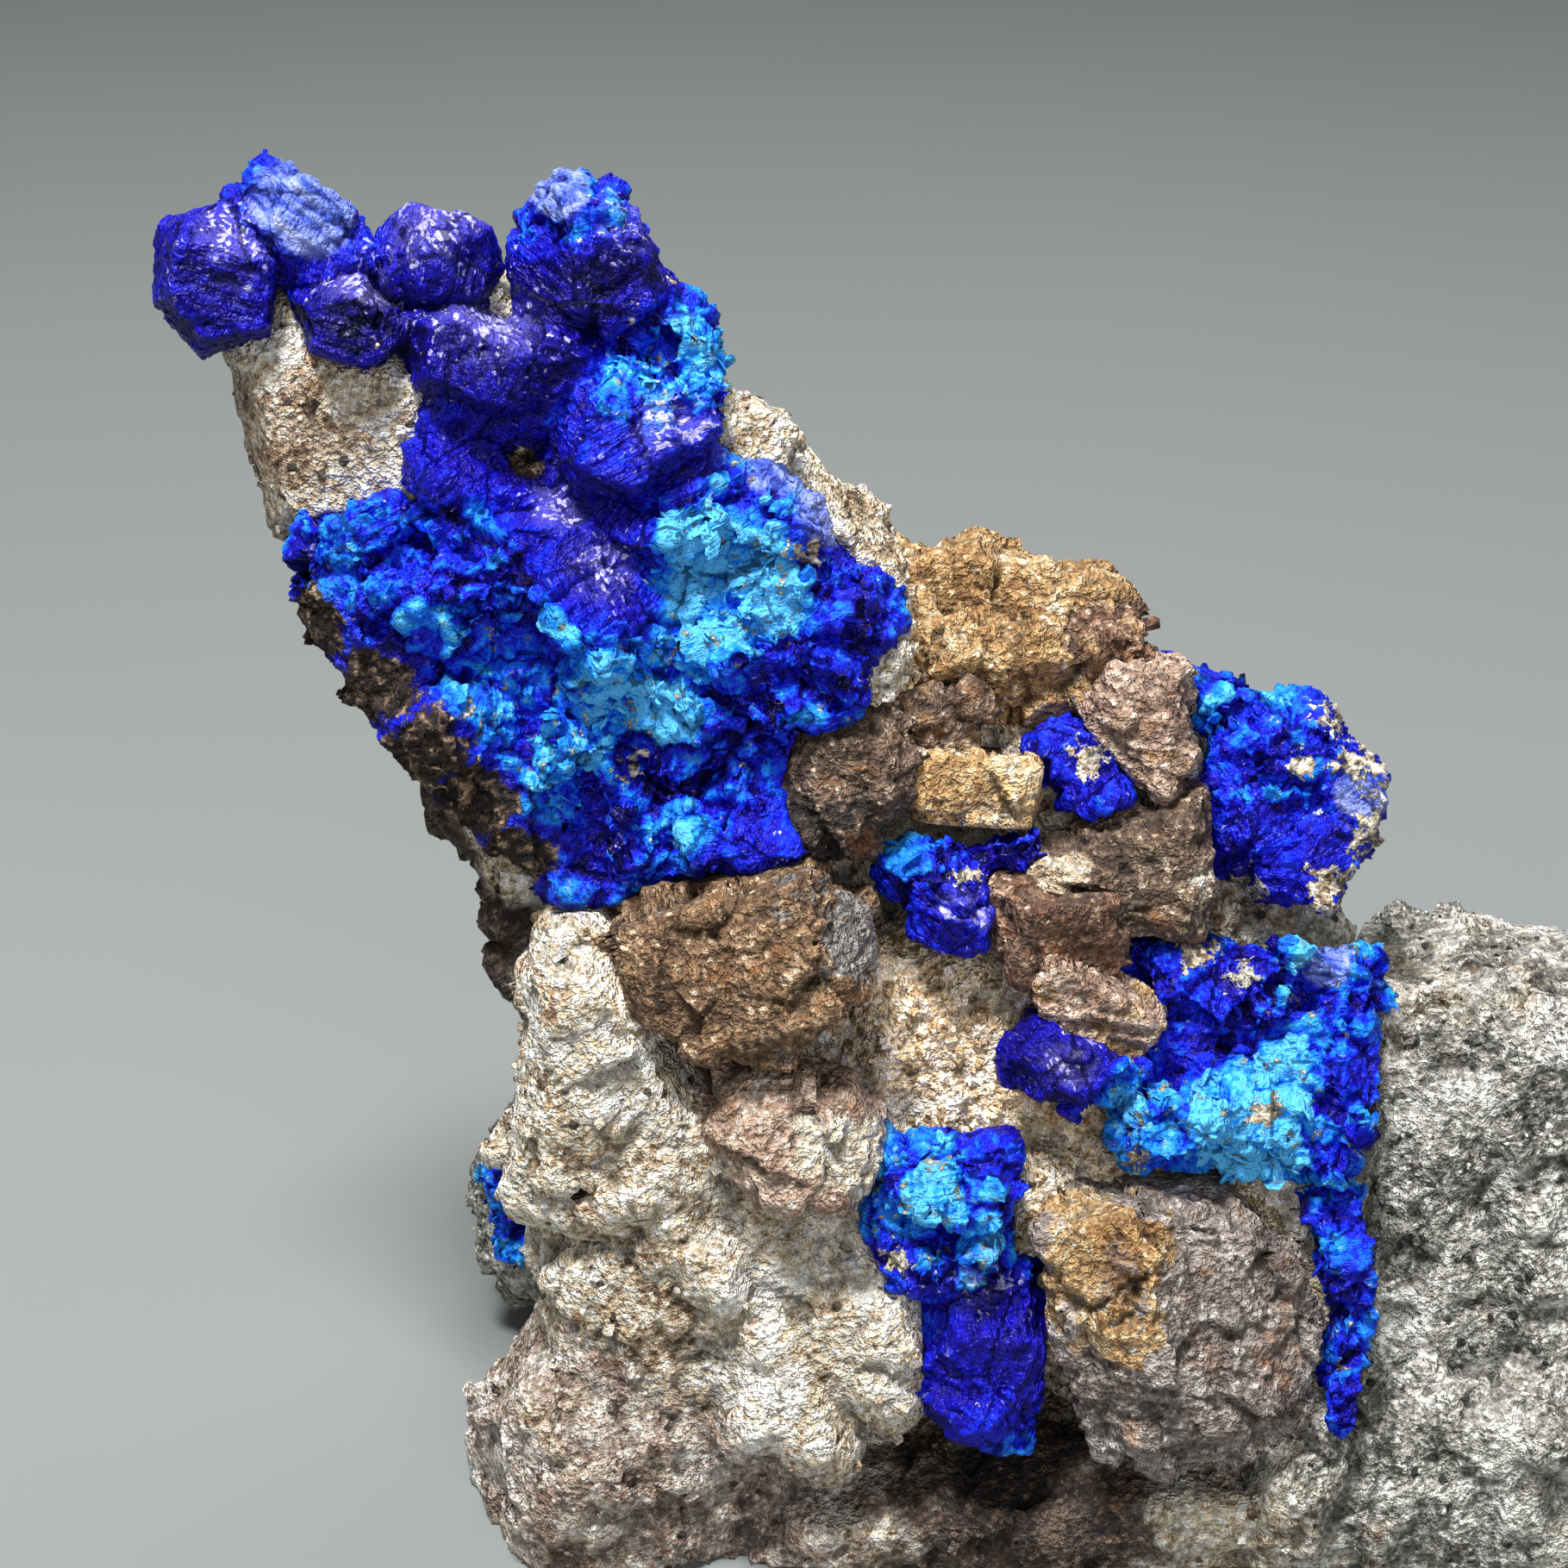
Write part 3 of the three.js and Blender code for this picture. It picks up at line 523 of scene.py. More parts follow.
class Tree:
    """A node tree that is written as expressions."""

    def __init__(self, tree):
        self.tree = tree

    def node(self, kind, settings=None, values=None):
        """A node of a kind, with its settings made first and its sockets fed after that."""
        made = self.tree.nodes.new(kind)
        for name, value in (settings or {}).items():
            if name == "stops":
                set_stops(made.color_ramp, value)
            else:
                setattr(made, name, value)
        for key, value in (values or {}).items():
            self.feed(made.inputs[key], value)
        return made

    def feed(self, socket, value):
        if isinstance(value, Wire):
            self.tree.links.new(value.socket, socket)
        elif socket.type == "RGBA" and len(value) == 3:
            socket.default_value = (*value, 1.0)
        else:
            socket.default_value = value

    def out(self, made, key=0):
        return Wire(self, made.outputs[key])

    def math(self, operation, *values):
        made = self.node("ShaderNodeMath", {"operation": operation}, dict(enumerate(values)))
        return self.out(made)

    def vector(self, operation, *values):
        made = self.node("ShaderNodeVectorMath", {"operation": operation}, dict(enumerate(values)))
        return self.out(made, "Value" if operation in ("DOT_PRODUCT", "DISTANCE") else "Vector")

    def scaled(self, vector, factor):
        made = self.node("ShaderNodeVectorMath", {"operation": "SCALE"}, {0: vector, "Scale": factor})
        return self.out(made)

    def mix(self, share, first, second, blend="MIX"):
        """One colour laid over another."""
        settings = {"data_type": "RGBA", "blend_type": blend, "clamp_factor": True}
        return self.out(self.node("ShaderNodeMix", settings, {0: share, 6: first, 7: second}), 2)

    def ramp(self, value, stops):
        return self.out(self.node("ShaderNodeValToRGB", {"stops": stops}, {0: value}))

    def band(self, value, low, high, start=0.0, end=1.0):
        """A smooth change from start to end while the value goes from low to high."""
        settings = {"interpolation_type": "SMOOTHSTEP", "clamp": True}
        values = {0: value, 1: low, 2: high, 3: start, 4: end}
        return self.out(self.node("ShaderNodeMapRange", settings, values))

    def noise(self, place, size, detail=3.0, roughness=0.55, kind="FBM"):
        settings = {"noise_dimensions": "3D", "noise_type": kind}
        values = {"Vector": place, "Scale": 1.0 / size, "Detail": detail, "Roughness": roughness}
        return self.node("ShaderNodeTexNoise", settings, values)

    def cells(self, place, size, feature="F1"):
        settings = {"voronoi_dimensions": "3D", "feature": feature}
        values = {"Vector": place, "Scale": 1.0 / size}
        return self.node("ShaderNodeTexVoronoi", settings, values)

    def parts(self, vector):
        made = self.node("ShaderNodeSeparateXYZ", None, {0: vector})
        return [self.out(made, axis) for axis in range(3)]


def set_stops(ramp, stops):
    """Gives a colour ramp its places and colours."""
    while len(ramp.elements) < len(stops):
        ramp.elements.new(1.0)
    for element, (place, colour) in zip(ramp.elements, stops):
        element.position = place
        element.color = (*colour, 1.0)


# Geometry trees

INPUT_KINDS = {
    "size": "NodeSocketFloat",
    "count": "NodeSocketInt",
    "object": "NodeSocketObject",
    "material": "NodeSocketMaterial",
}

# Inputs of every tree that sets copies on a surface.
STREWN_INPUTS = {
    "Neighbours": "object",
    "Density": "size",
    "Largest": "size",
    "Seed": "count",
    "Material": "material",
}


def geometry_tree(name, inputs):
    """An empty geometry tree with named inputs: the tree, and what comes in under each name."""
    group = bpy.data.node_groups.new(name, "GeometryNodeTree")
    group.interface.new_socket("Mesh", in_out="INPUT", socket_type="NodeSocketGeometry")
    group.interface.new_socket("Mesh", in_out="OUTPUT", socket_type="NodeSocketGeometry")
    for label, kind in inputs.items():
        group.interface.new_socket(label, in_out="INPUT", socket_type=INPUT_KINDS[kind])
    tree = Tree(group)
    entry = tree.node("NodeGroupInput")
    given = {socket.name: Wire(tree, socket) for socket in entry.outputs if socket.name}
    return tree, given


def end_tree(tree, mesh, material):
    """Realizes what a tree has made, gives it its material and ends the tree."""
    real = tree.node("GeometryNodeRealizeInstances", None, {0: mesh})
    dressed = tree.node("GeometryNodeSetMaterial", None, {"Geometry": tree.out(real), "Material": material})
    tree.node("NodeGroupOutput", None, {0: tree.out(dressed)})
    return tree.tree


def object_mesh(tree, thing):
    return tree.out(tree.node("GeometryNodeObjectInfo", None, {"Object": thing}), "Geometry")


def position_in(tree):
    return tree.out(tree.node("GeometryNodeInputPosition"))


def normal_in(tree):
    return tree.out(tree.node("GeometryNodeInputNormal"))


def pushed(tree, mesh, normal, height):
    """A mesh moved along its normals by a height."""
    values = {"Geometry": mesh, "Offset": tree.scaled(normal, height)}
    return tree.out(tree.node("GeometryNodeSetPosition", None, values))


def covered(tree, neighbours, place, direction, reach):
    """Whether another piece lies close in front of a place."""
    settings = {"data_type": "FLOAT"}
    values = {
        "Target Geometry": object_mesh(tree, neighbours),
        "Source Position": place,
        "Ray Direction": direction,
        "Ray Length": reach,
    }
    return tree.out(tree.node("GeometryNodeRaycast", settings, values), "Is Hit")


def random_between(tree, low, high, seed):
    """A random number, or a random vector where the limits are vectors."""
    if isinstance(low, tuple):
        values = {0: low, 1: high, "Seed": seed}
        return tree.out(tree.node("FunctionNodeRandomValue", {"data_type": "FLOAT_VECTOR"}, values), 0)
    values = {2: low, 3: high, "Seed": seed}
    return tree.out(tree.node("FunctionNodeRandomValue", {"data_type": "FLOAT"}, values), 1)


def scattered(tree, mesh, given, density, reach):
    """Random places on the open surface of a mesh, and the turn that stands each one up on it."""
    spread = tree.node(
        "GeometryNodeDistributePointsOnFaces",
        {"distribute_method": "RANDOM"},
        {"Mesh": mesh, "Density": density, "Seed": given["Seed"]},
    )
    normal = tree.out(spread, "Normal")
    place = position_in(tree)
    hidden = covered(tree, given["Neighbours"], place, normal, reach)
    low = tree.math("LESS_THAN", tree.parts(place)[2], LOWEST_COPY)
    dropped = tree.math("MAXIMUM", hidden, low)
    return without(tree, tree.out(spread, "Points"), dropped), tree.out(spread, "Rotation")


def without(tree, points, dropped):
    values = {"Geometry": points, "Selection": dropped}
    return tree.out(tree.node("GeometryNodeDeleteGeometry", {"domain": "POINT"}, values))


def named(tree, name):
    """The value that a mesh or its points carry under a name."""
    settings = {"data_type": "FLOAT"}
    return tree.out(tree.node("GeometryNodeInputNamedAttribute", settings, {"Name": name}))


def any_turn(tree, seed):
    return random_between(tree, (0, 0, 0), (FULL_TURN, FULL_TURN, FULL_TURN), seed)


def random_scale(tree, largest, least, rarity, narrow, wide, seed):
    """The scale of each copy: from a least share of the largest size up, large ones rare, stretched."""
    chance = random_between(tree, 0.0, 1.0, seed)
    share = chance
    for _ in range(rarity):
        share = share * chance
    size = largest * (share * (1.0 - least) + least)
    return tree.scaled(random_between(tree, narrow, wide, seed + 1), size)


def placed(tree, points, shape, turn, scale):
    values = {"Points": points, "Instance": shape, "Rotation": turn, "Scale": scale}
    return tree.out(tree.node("GeometryNodeInstanceOnPoints", None, values))


def joined(tree, *meshes):
    made = tree.node("GeometryNodeJoinGeometry")
    for mesh in meshes:
        tree.feed(made.inputs[0], mesh)
    return tree.out(made)


def smooth_ground(tree):
    """Nothing on the flat broken face high on the arm, and one everywhere else."""
    place = position_in(tree)
    away = tree.vector("DISTANCE", place, FLAT_FACE[0])
    return tree.band(away, FLAT_FACE[1] * 0.8, FLAT_FACE[1] * 1.2)


def bits_tree():
    """Adds angular bits of rock to the open surface of the matrix."""
    tree, given = geometry_tree("rock bits", STREWN_INPUTS)
    seed = given["Seed"]
    points, _ = scattered(tree, given["Mesh"], given, given["Density"], BIT_ROOM)
    points = without(tree, points, tree.math("LESS_THAN", smooth_ground(tree), 0.5))
    shape = tree.out(tree.node("GeometryNodeMeshCube", None, {"Size": (1.6, 1.6, 1.6)}))
    scale = random_scale(tree, given["Largest"], 0.25, 1, (0.6, 0.5, 0.4), (1.3, 1.1, 0.9), seed + 1)
    bits = placed(tree, points, shape, any_turn(tree, seed), scale)
    return end_tree(tree, joined(tree, given["Mesh"], bits), given["Material"])


def crystal_shape(tree, top, depth, sunk):
    """A six-sided crystal of unit width that narrows to its top, part of it below the surface."""
    values = {"Vertices": 6, "Radius Top": top, "Radius Bottom": 1.0, "Depth": depth}
    shape = tree.node("GeometryNodeMeshCone", {"fill_type": "NGON"}, values)
    values = {"Geometry": tree.out(shape), "Translation": (0, 0, -sunk)}
    return tree.out(tree.node("GeometryNodeTransform", None, values))


def leaning(tree, upright, lean, seed):
    """A turn that leans a random way from upright, by up to the given angle."""
    turn = random_between(tree, (-lean, -lean, 0.0), (lean, lean, FULL_TURN), seed)
    settings = {"rotation_space": "LOCAL"}
    return tree.out(tree.node("FunctionNodeRotateRotation", settings, {0: upright, 1: turn}))


def crust_tree():
    """Adds six-sided crystals to a growth, many low down and few on the large crystals above."""
    tree, given = geometry_tree("azurite crust", {**STREWN_INPUTS, "Bare Above": "size"})
    seed = given["Seed"]
    points, upright = scattered(tree, given["Mesh"], given, given["Density"], CRYSTAL_ROOM)
    height = tree.parts(position_in(tree))[2]
    crowd = tree.band(height, given["Bare Above"] - 3.0, given["Bare Above"] + 2.0, 1.0, 0.0)
    chance = random_between(tree, 0.0, 1.0, seed + 5)
    points = without(tree, points, tree.math("GREATER_THAN", chance, crowd))
    shape = crystal_shape(tree, 0.55, 1.7, 0.7)
    scale = random_scale(tree, given["Largest"], 0.3, 1, (0.8, 0.25, 0.5), (1.3, 0.7, 1.1), seed + 2)
    turn = leaning(tree, upright, 0.8, seed + 1)
    crystals = placed(tree, points, shape, turn, scale)
    return end_tree(tree, joined(tree, given["Mesh"], crystals), given["Material"])


def flakes_tree():
    """Sets thin sharp crystals on a finished surface, as many as it says; only they are left."""
    tree, given = geometry_tree("azurite flakes", STREWN_INPUTS)
    seed = given["Seed"]
    raised = tree.band(named(tree, "plate"), -0.04, 0.08)
    density = given["Density"] * named(tree, "flakes") * raised
    points, upright = scattered(tree, given["Mesh"], given, density, FLAKE_ROOM)
    shape = crystal_shape(tree, 0.8, 0.5, 0.25)
    scale = random_scale(tree, given["Largest"], 0.3, 1, (0.7, 0.5, 0.25), (1.2, 0.9, 0.6), seed + 2)
    turn = leaning(tree, upright, 0.9, seed + 1)
    flakes = with_own_tone(tree, placed(tree, points, shape, turn, scale), seed + 4)
    return end_tree(tree, flakes, given["Material"])


def with_own_tone(tree, copies, seed):
    """Gives each copy one random tone from -0.5 to 0.5."""
    settings = {"data_type": "FLOAT", "domain": "INSTANCE"}
    values = {"Geometry": copies, "Name": "own", "Value": random_between(tree, -0.5, 0.5, seed)}
    return tree.out(tree.node("GeometryNodeStoreNamedAttribute", settings, values))


def stored(tree, mesh, name, value, kind="FLOAT"):
    settings = {"data_type": kind, "domain": "POINT"}
    values = {"Geometry": mesh, "Name": name, "Value": value}
    return tree.out(tree.node("GeometryNodeStoreNamedAttribute", settings, values))


def blurred_place(tree, place, rounds):
    settings = {"data_type": "FLOAT_VECTOR"}
    return tree.out(tree.node("GeometryNodeBlurAttribute", settings, {"Value": place, "Iterations": rounds}))


def with_ridges(tree, mesh, wide):
    """Stores how far each place stands out of its surroundings, in the small and in the large."""
    place = position_in(tree)
    normal = normal_in(tree)
    for name, rounds in (("ridge", RIDGE_ROUNDS), ("swell", wide)):
        rise = tree.vector("SUBTRACT", place, blurred_place(tree, place, rounds))
        mesh = stored(tree, mesh, name, tree.vector("DOT_PRODUCT", rise, normal))
    return mesh


def faceted(tree, place, size):
    """Small tilted planes beside each other: the height above the mean surface as a share of the size."""
    return tilted(tree, place, tree.cells(place, size))


def tilted(tree, place, cell):
    """The height of the tilted plane of each cell."""
    tilt = tree.vector("SUBTRACT", tree.out(cell, "Color"), HALF)
    away = tree.vector("SUBTRACT", place, tree.out(cell, "Position"))
    return tree.vector("DOT_PRODUCT", tilt, away)


def layers_of(tree, place):
    """Thin layers that lie almost level, from 0 to 1."""
    along, depth, up = tree.parts(place)
    values = {0: along * 0.35, 1: depth * 0.9, 2: up * 2.6 + along * 0.5}
    flat = tree.out(tree.node("ShaderNodeCombineXYZ", None, values))
    return tree.out(tree.noise(flat, 1.0, 4.0, 0.6))


def rock_relief_tree():
    """Roughens a rock: lumps, broken planes in two sizes, grains, pits and layers along its normal."""
    sizes = dict.fromkeys(MATRIX_RELIEF, "size")
    tree, given = geometry_tree("rock relief", {"Neighbours": "object", **sizes, "Material": "material"})
    place = position_in(tree)
    normal = normal_in(tree)
    lump = tree.out(tree.noise(tree.scaled(place, 1.0 / given["Lump Size"]), 1.0, 4.0, 0.5)) - 0.5
    chip_place = tree.scaled(place, 1.0 / given["Chip Size"])
    bend = tree.scaled(tree.out(tree.noise(chip_place, 1.2, 2.0), 1), 0.35)
    bent = tree.vector("ADD", chip_place, bend)
    planes = faceted(tree, bent, 1.0) + faceted(tree, bent, 0.35) * 0.8
    grain = tree.cells(place, 0.45)
    knob = (0.45 - tree.out(grain, "Distance")) * tree.parts(tree.out(grain, "Color"))[0]
    pit = tree.band(tree.out(tree.noise(place, 1.3, 4.0, 0.65)), 0.60, 0.70)
    hidden = covered(tree, given["Neighbours"], place, normal, 0.9)
    height = lump * given["Lump Height"] * 2.0
    height = height + planes * given["Chip Height"]
    height = height + knob * given["Grain Height"]
    height = height - pit * given["Pit Depth"]
    height = height + (layers_of(tree, place) - 0.5) * given["Layer Height"] * 2.0
    height = height * (smooth_ground(tree) * 0.9 + 0.1) * (1 - hidden) + given["Swell"] * (1 + hidden)
    mesh = pushed(tree, given["Mesh"], normal, height)
    return end_tree(tree, with_ridges(tree, mesh, ROCK_SWELL_ROUNDS), given["Material"])


def striated(tree, place, run):
    """Fine lines across the direction in which a crystal runs, from 0 to 1."""
    along = tree.vector("DOT_PRODUCT", place, run)
    drawn = tree.vector("ADD", tree.scaled(place, 0.9), tree.scaled(run, along * 5.1))
    return tree.out(tree.noise(drawn, 1.0, 3.0, 0.6))


def streak_place(tree, place):
    """A place drawn out along the slope of the arm, for patterns that run down it."""
    along = tree.vector("DOT_PRODUCT", place, (0.80, 0.10, -0.60))
    across = tree.vector("DOT_PRODUCT", place, (0.60, 0.0, 0.80))
    depth = tree.parts(place)[1]
    values = {0: along * 0.22, 1: across * 2.4, 2: depth * 1.2}
    return tree.out(tree.node("ShaderNodeCombineXYZ", None, values))


def growth_lines(tree, place, run, gap):
    """Steps across the direction in which a crystal runs, each rising from 0 to 1."""
    wander = tree.out(tree.noise(place, 1.6, 3.0)) * 0.5
    along = tree.vector("DOT_PRODUCT", place, run) + wander
    return tree.math("FRACT", along / gap)


def ragged_plates(tree, place, size, crust):
    """Bent plates of the crusts: how high each lies, its tilted surface, and the cracks between them."""
    bend = tree.vector("SUBTRACT", tree.out(tree.noise(place, 0.8, 4.0, 0.6), 1), HALF)
    bent = tree.scaled(tree.vector("ADD", place, tree.scaled(bend, 1.1)), 1.0 / size)
    plate = tree.cells(bent, 1.0)
    rise = tree.parts(tree.out(plate, "Color"))[0] - 0.5
    edge = tree.out(tree.cells(bent, 1.0, "DISTANCE_TO_EDGE"), "Distance")
    crack = tree.band(edge, 0.13, 0.02) * crust * tree.band(named(tree, "tone"), 0.75, 1.0, 1.0, 0.4)
    return rise, rise + tilted(tree, bent, plate) * 0.9, crack


def crystal_relief_tree():
    """Gives crystals flat steps and growth lines, and breaks the bright crusts into ragged plates."""
    sizes = dict.fromkeys(CRYSTAL_RELIEF, "size")
    tree, given = geometry_tree("crystal relief", {**sizes, "Sugar Size": "size", "Material": "material"})
    place = position_in(tree)
    normal = normal_in(tree)
    family = tree.cells(place, 3.0)
    run = tree.vector("NORMALIZE", tree.vector("SUBTRACT", tree.out(family, "Color"), HALF))
    line = growth_lines(tree, place, run, given["Line Gap"])
    pale = named(tree, "pale")
    rock = tree.math("MAXIMUM", named(tree, "earth"), named(tree, "grit"))
    crust = tree.band(named(tree, "tone"), 0.36, 0.62) * (1 - pale) * (1 - rock * 0.7)
    rough = crust * 0.55 + 0.45
    steps = faceted(tree, tree.scaled(place, 1.0 / given["Step Size"]), 1.0)
    sugar = faceted(tree, tree.scaled(place, 1.0 / given["Sugar Size"]), 1.0)
    rise, plates, crack = ragged_plates(tree, place, given["Plate Size"], crust)
    torn = tree.out(tree.noise(place, 0.9, 5.0, 0.7, "RIDGED_MULTIFRACTAL")) - 0.5
    streak = tree.out(tree.noise(streak_place(tree, place), 1.0, 4.0, 0.6)) - 0.5
    broken = faceted(tree, place, 0.9) + torn * 0.15 + 0.05
    height = (sugar * given["Sugar Height"] + steps * given["Step Height"]) * rough
    height = height + (plates * given["Plate Height"] + torn * 0.22) * crust - crack * 0.20
    height = height + (line - 0.5) * given["Line Height"] * (1 - crust)
    height = height + streak * pale * 0.9 + given["Swell"]
    height = height + broken * rock * 0.5
    mesh = pushed(tree, given["Mesh"], normal, height)
    mesh = stored(tree, mesh, "up", tree.parts(normal)[2])
    mesh = stored(tree, mesh, "run", run, "FLOAT_VECTOR")
    # How high each crust plate lies, which also gives its colour a random tone, and painted shade in the
    # cracks between plates.
    mesh = stored(tree, mesh, "plate", (rise * 0.40 + 0.06) * crust - crack * 0.28)
    return end_tree(tree, with_ridges(tree, mesh, CRYSTAL_SWELL_ROUNDS), given["Material"])


def grains_tree():
    """Strews sand grains over a rock, as many as it says; only the grains are left."""
    tree, given = geometry_tree("sand grains", STREWN_INPUTS)
    seed = given["Seed"]
    density = given["Density"] * (named(tree, "sand") + 0.08)
    points, _ = scattered(tree, given["Mesh"], given, density, GRAIN_ROOM)
    shape = tree.out(tree.node("GeometryNodeMeshCube", None, {"Size": (1.5, 1.5, 1.5)}))
    scale = random_scale(tree, given["Largest"], 0.25, 2, (0.6, 0.6, 0.45), (1.3, 1.0, 0.9), seed + 1)
    grains = placed(tree, points, shape, any_turn(tree, seed), scale)
    return end_tree(tree, with_own_tone(tree, grains, seed + 3), given["Material"])


# Meshes

def cad_mesh(names, label):
    """A merged copy of CAD nodes, in millimetres."""
    shape = bmesh.new()
    for name in names:
        shape.from_mesh(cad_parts[name].data)
    bmesh.ops.scale(shape, vec=(1 / MM, 1 / MM, 1 / MM), verts=shape.verts)
    bmesh.ops.remove_doubles(shape, verts=shape.verts, dist=MERGE_DISTANCE)
    mesh = bpy.data.meshes.new(label)
    shape.to_mesh(mesh)
    shape.free()
    return mesh


def new_object(name, mesh):
    thing = bpy.data.objects.new(name, mesh)
    bpy.context.scene.collection.objects.link(thing)
    return thing


def neighbours_of(node):
    """All other CAD nodes as one helper object, in millimetres."""
    others = [name for name in sorted(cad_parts) if name != node]
    return new_object("neighbours", cad_mesh(others, "neighbours"))


def add_tree(thing, tree, values):
    """Puts a geometry tree on an object, with its inputs set by their identifiers."""
    modifier = thing.modifiers.new(tree.name, "NODES")
    modifier.node_group = tree
    for item in tree.interface.items_tree:
        if item.in_out == "INPUT" and item.name in values:
            modifier[item.identifier] = values[item.name]


def add_cells(thing, size):
    """Rebuilds an object as one closed skin of even cells."""
    modifier = thing.modifiers.new("cells", "REMESH")
    modifier.mode = "VOXEL"
    modifier.voxel_size = size
    modifier.use_smooth_shade = True


def settle(thing):
    """Turns what an object's modifiers make into its own plain mesh."""
    graph = bpy.context.evaluated_depsgraph_get()
    mesh = bpy.data.meshes.new_from_object(
        thing.evaluated_get(graph), preserve_all_data_layers=True, depsgraph=graph)
    thing.modifiers.clear()
    thing.data = mesh


def rows_of(items, name):
    """What each of some items holds under a name, as rows of three numbers."""
    flat = np.empty(len(items) * 3, np.float32)
    items.foreach_get(name, flat)
    return flat.reshape(-1, 3).astype(np.float64)


def places_of(mesh):
    """The places of a mesh's vertices."""
    return rows_of(mesh.vertices, "co")


def set_places(mesh, places):
    mesh.vertices.foreach_set("co", places.astype(np.float32).ravel())
    mesh.update()


def set_attribute(mesh, name, values):
    attribute = mesh.attributes.new(name, "FLOAT", "POINT")
    attribute.data.foreach_set("value", np.asarray(values, np.float32))


def nearest_rows(points, middles):
    """The number of the nearest middle for each point, worked out a block of points at a time."""
    block = 8192
    weight = (middles ** 2).sum(1)
    owner = np.empty(len(points), int)
    for first in range(0, len(points), block):
        part = points[first:first + block]
        owner[first:first + block] = np.argmin(weight - 2.0 * part @ middles.T, axis=1)
    return owner


def evened(mesh, rows):
    """Rows of three numbers, one for each vertex, evened out a little between neighbours."""
    ends = np.empty(len(mesh.edges) * 2, np.int32)
    mesh.edges.foreach_get("vertices", ends)
    first, second = ends.reshape(-1, 2).T
    starts = np.concatenate([first, second])
    others = np.concatenate([second, first])
    held = np.maximum(np.bincount(starts, minlength=len(rows)), 1)
    for _ in range(3):
        sums = [np.bincount(starts, rows[others, column], len(rows)) for column in range(3)]
        rows = 0.4 * rows + 0.6 * np.stack(sums, 1) / held[:, None]
    return rows


def press_facets(mesh, gap, share, seed):
    """Presses a surface a share of the way onto flat facets that lie about a gap apart."""
    places = places_of(mesh)
    points = np.hstack([places, rows_of(mesh.vertex_normals, "vector") * gap])
    count = int(sum(polygon.area for polygon in mesh.polygons) / gap ** 2) + 6
    chance = np.random.default_rng(seed)
    middles = points[chance.choice(len(points), count, replace=False)]
    for _ in range(3):
        owner = nearest_rows(points, middles)
        held = np.maximum(np.bincount(owner, minlength=count), 1)
        sums = [np.bincount(owner, points[:, column], count) for column in range(6)]
        middles = np.stack(sums, 1) / held[:, None]
    facing = middles[owner, 3:]
    facing = facing / np.maximum(np.linalg.norm(facing, axis=1), 1e-6)[:, None]
    rise = np.einsum("ij,ij->i", places - middles[owner, :3], facing)
    rise = np.clip(rise, -MOST_PRESS * gap, MOST_PRESS * gap)
    move = evened(mesh, facing * (rise * share)[:, None])
    set_places(mesh, places - move)


def falloff(distance, reach):
    """One at the middle of a patch, and nothing beyond its reach."""
    inside = np.clip(1.0 - distance / reach, 0.0, 1.0)
    return inside * inside * (3.0 - 2.0 * inside)


def finish_piece(thing, node):
    """Takes a piece back to metres, on or above the floor, and tells the frame what it stands for."""
    places = places_of(thing.data)
    places[:, 2] = np.maximum(places[:, 2], 0.0)
    set_places(thing.data, places * MM)
    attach(thing, "root")
    if node:
        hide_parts(node)


def remove_helper(thing):
    mesh = thing.data
    bpy.data.objects.remove(thing)
    bpy.data.meshes.remove(mesh)


# Finishes

def new_material(name):
    """A material with its tree, its shader and its place on the object in millimetres."""
    material = bpy.data.materials.new(name)
    material.use_nodes = True
    tree = Tree(material.node_tree)
    shader = material.node_tree.nodes["Principled BSDF"]
    coordinates = tree.node("ShaderNodeTexCoord")
    place = tree.scaled(tree.out(coordinates, "Object"), 1.0 / MM)
    return material, tree, shader, place


def attribute_of(tree, name, key="Fac"):
    return tree.out(tree.node("ShaderNodeAttribute", {"attribute_name": name}), key)


def palette(tree, tone, colours):
    """A ramp from dark to pale grains."""
    return tree.ramp(tone, list(zip(SHADE_PLACES, colours)))


def grain_tone(tree, place):
    """The tone of each grain in its patch, one tone a grain, the painted shade in the gaps between grains,
    and its height.
    """
    small = tree.cells(place, GRAIN_WIDTH)
    patch = tree.out(tree.noise(place, ROCK_PATCH_WIDTH, 4.0, 0.7))
    fine = tree.out(tree.noise(place, FINE_GRAIN_WIDTH, 2.0, 0.7))
    small_tone = tree.parts(tree.out(small, "Color"))[1]
    tiny_tone = tree.parts(tree.out(tree.cells(place, TINY_GRAIN_WIDTH), "Color"))[0]
    # Painted glints: a few tiny grains are made paler, standing for sparkle.
    sparkle = tree.band(tiny_tone, 0.92, 0.97) * 0.35
    tone = small_tone * 0.26 + tiny_tone * 0.24 + patch * 1.7 + fine * 1.1 - 1.09 + sparkle
    tone = tone + attribute_of(tree, "own") * 0.8
    away = tree.out(small, "Distance")
    # Painted shade: each grain is darkened towards its edges, where the gaps between grains lie.
    gap_shade = tree.band(away, 0.42, 0.80, 1.0, 0.62)
    height = fine * 2.0 + tree.band(away, 0.75, 0.0) * 0.5
    return tone, small_tone, gap_shade, height


def add_relief(tree, shader, height, depth):
    values = {"Strength": 1.0, "Distance": depth, "Height": height}
    tree.feed(shader.inputs["Normal"], tree.out(tree.node("ShaderNodeBump", None, values)))


def shaded(tree, colour, gap_shade):
    """A colour with painted shade in hollows, in small creases and between grains, and painted light on
    ridges.
    """
    swell = attribute_of(tree, "swell")
    ridge = attribute_of(tree, "ridge")
    # Painted shade in hollows, small creases and gaps between grains; painted light on ridges.
    light = tree.band(swell, -0.40, 0.05, 0.35, 1.0) * tree.band(ridge, -0.05, 0.04, 0.70, 1.15) * gap_shade
    grey = tree.node("ShaderNodeCombineColor", None, {0: light, 1: light, 2: light})
    return tree.mix(1.0, colour, tree.out(grey), "MULTIPLY")


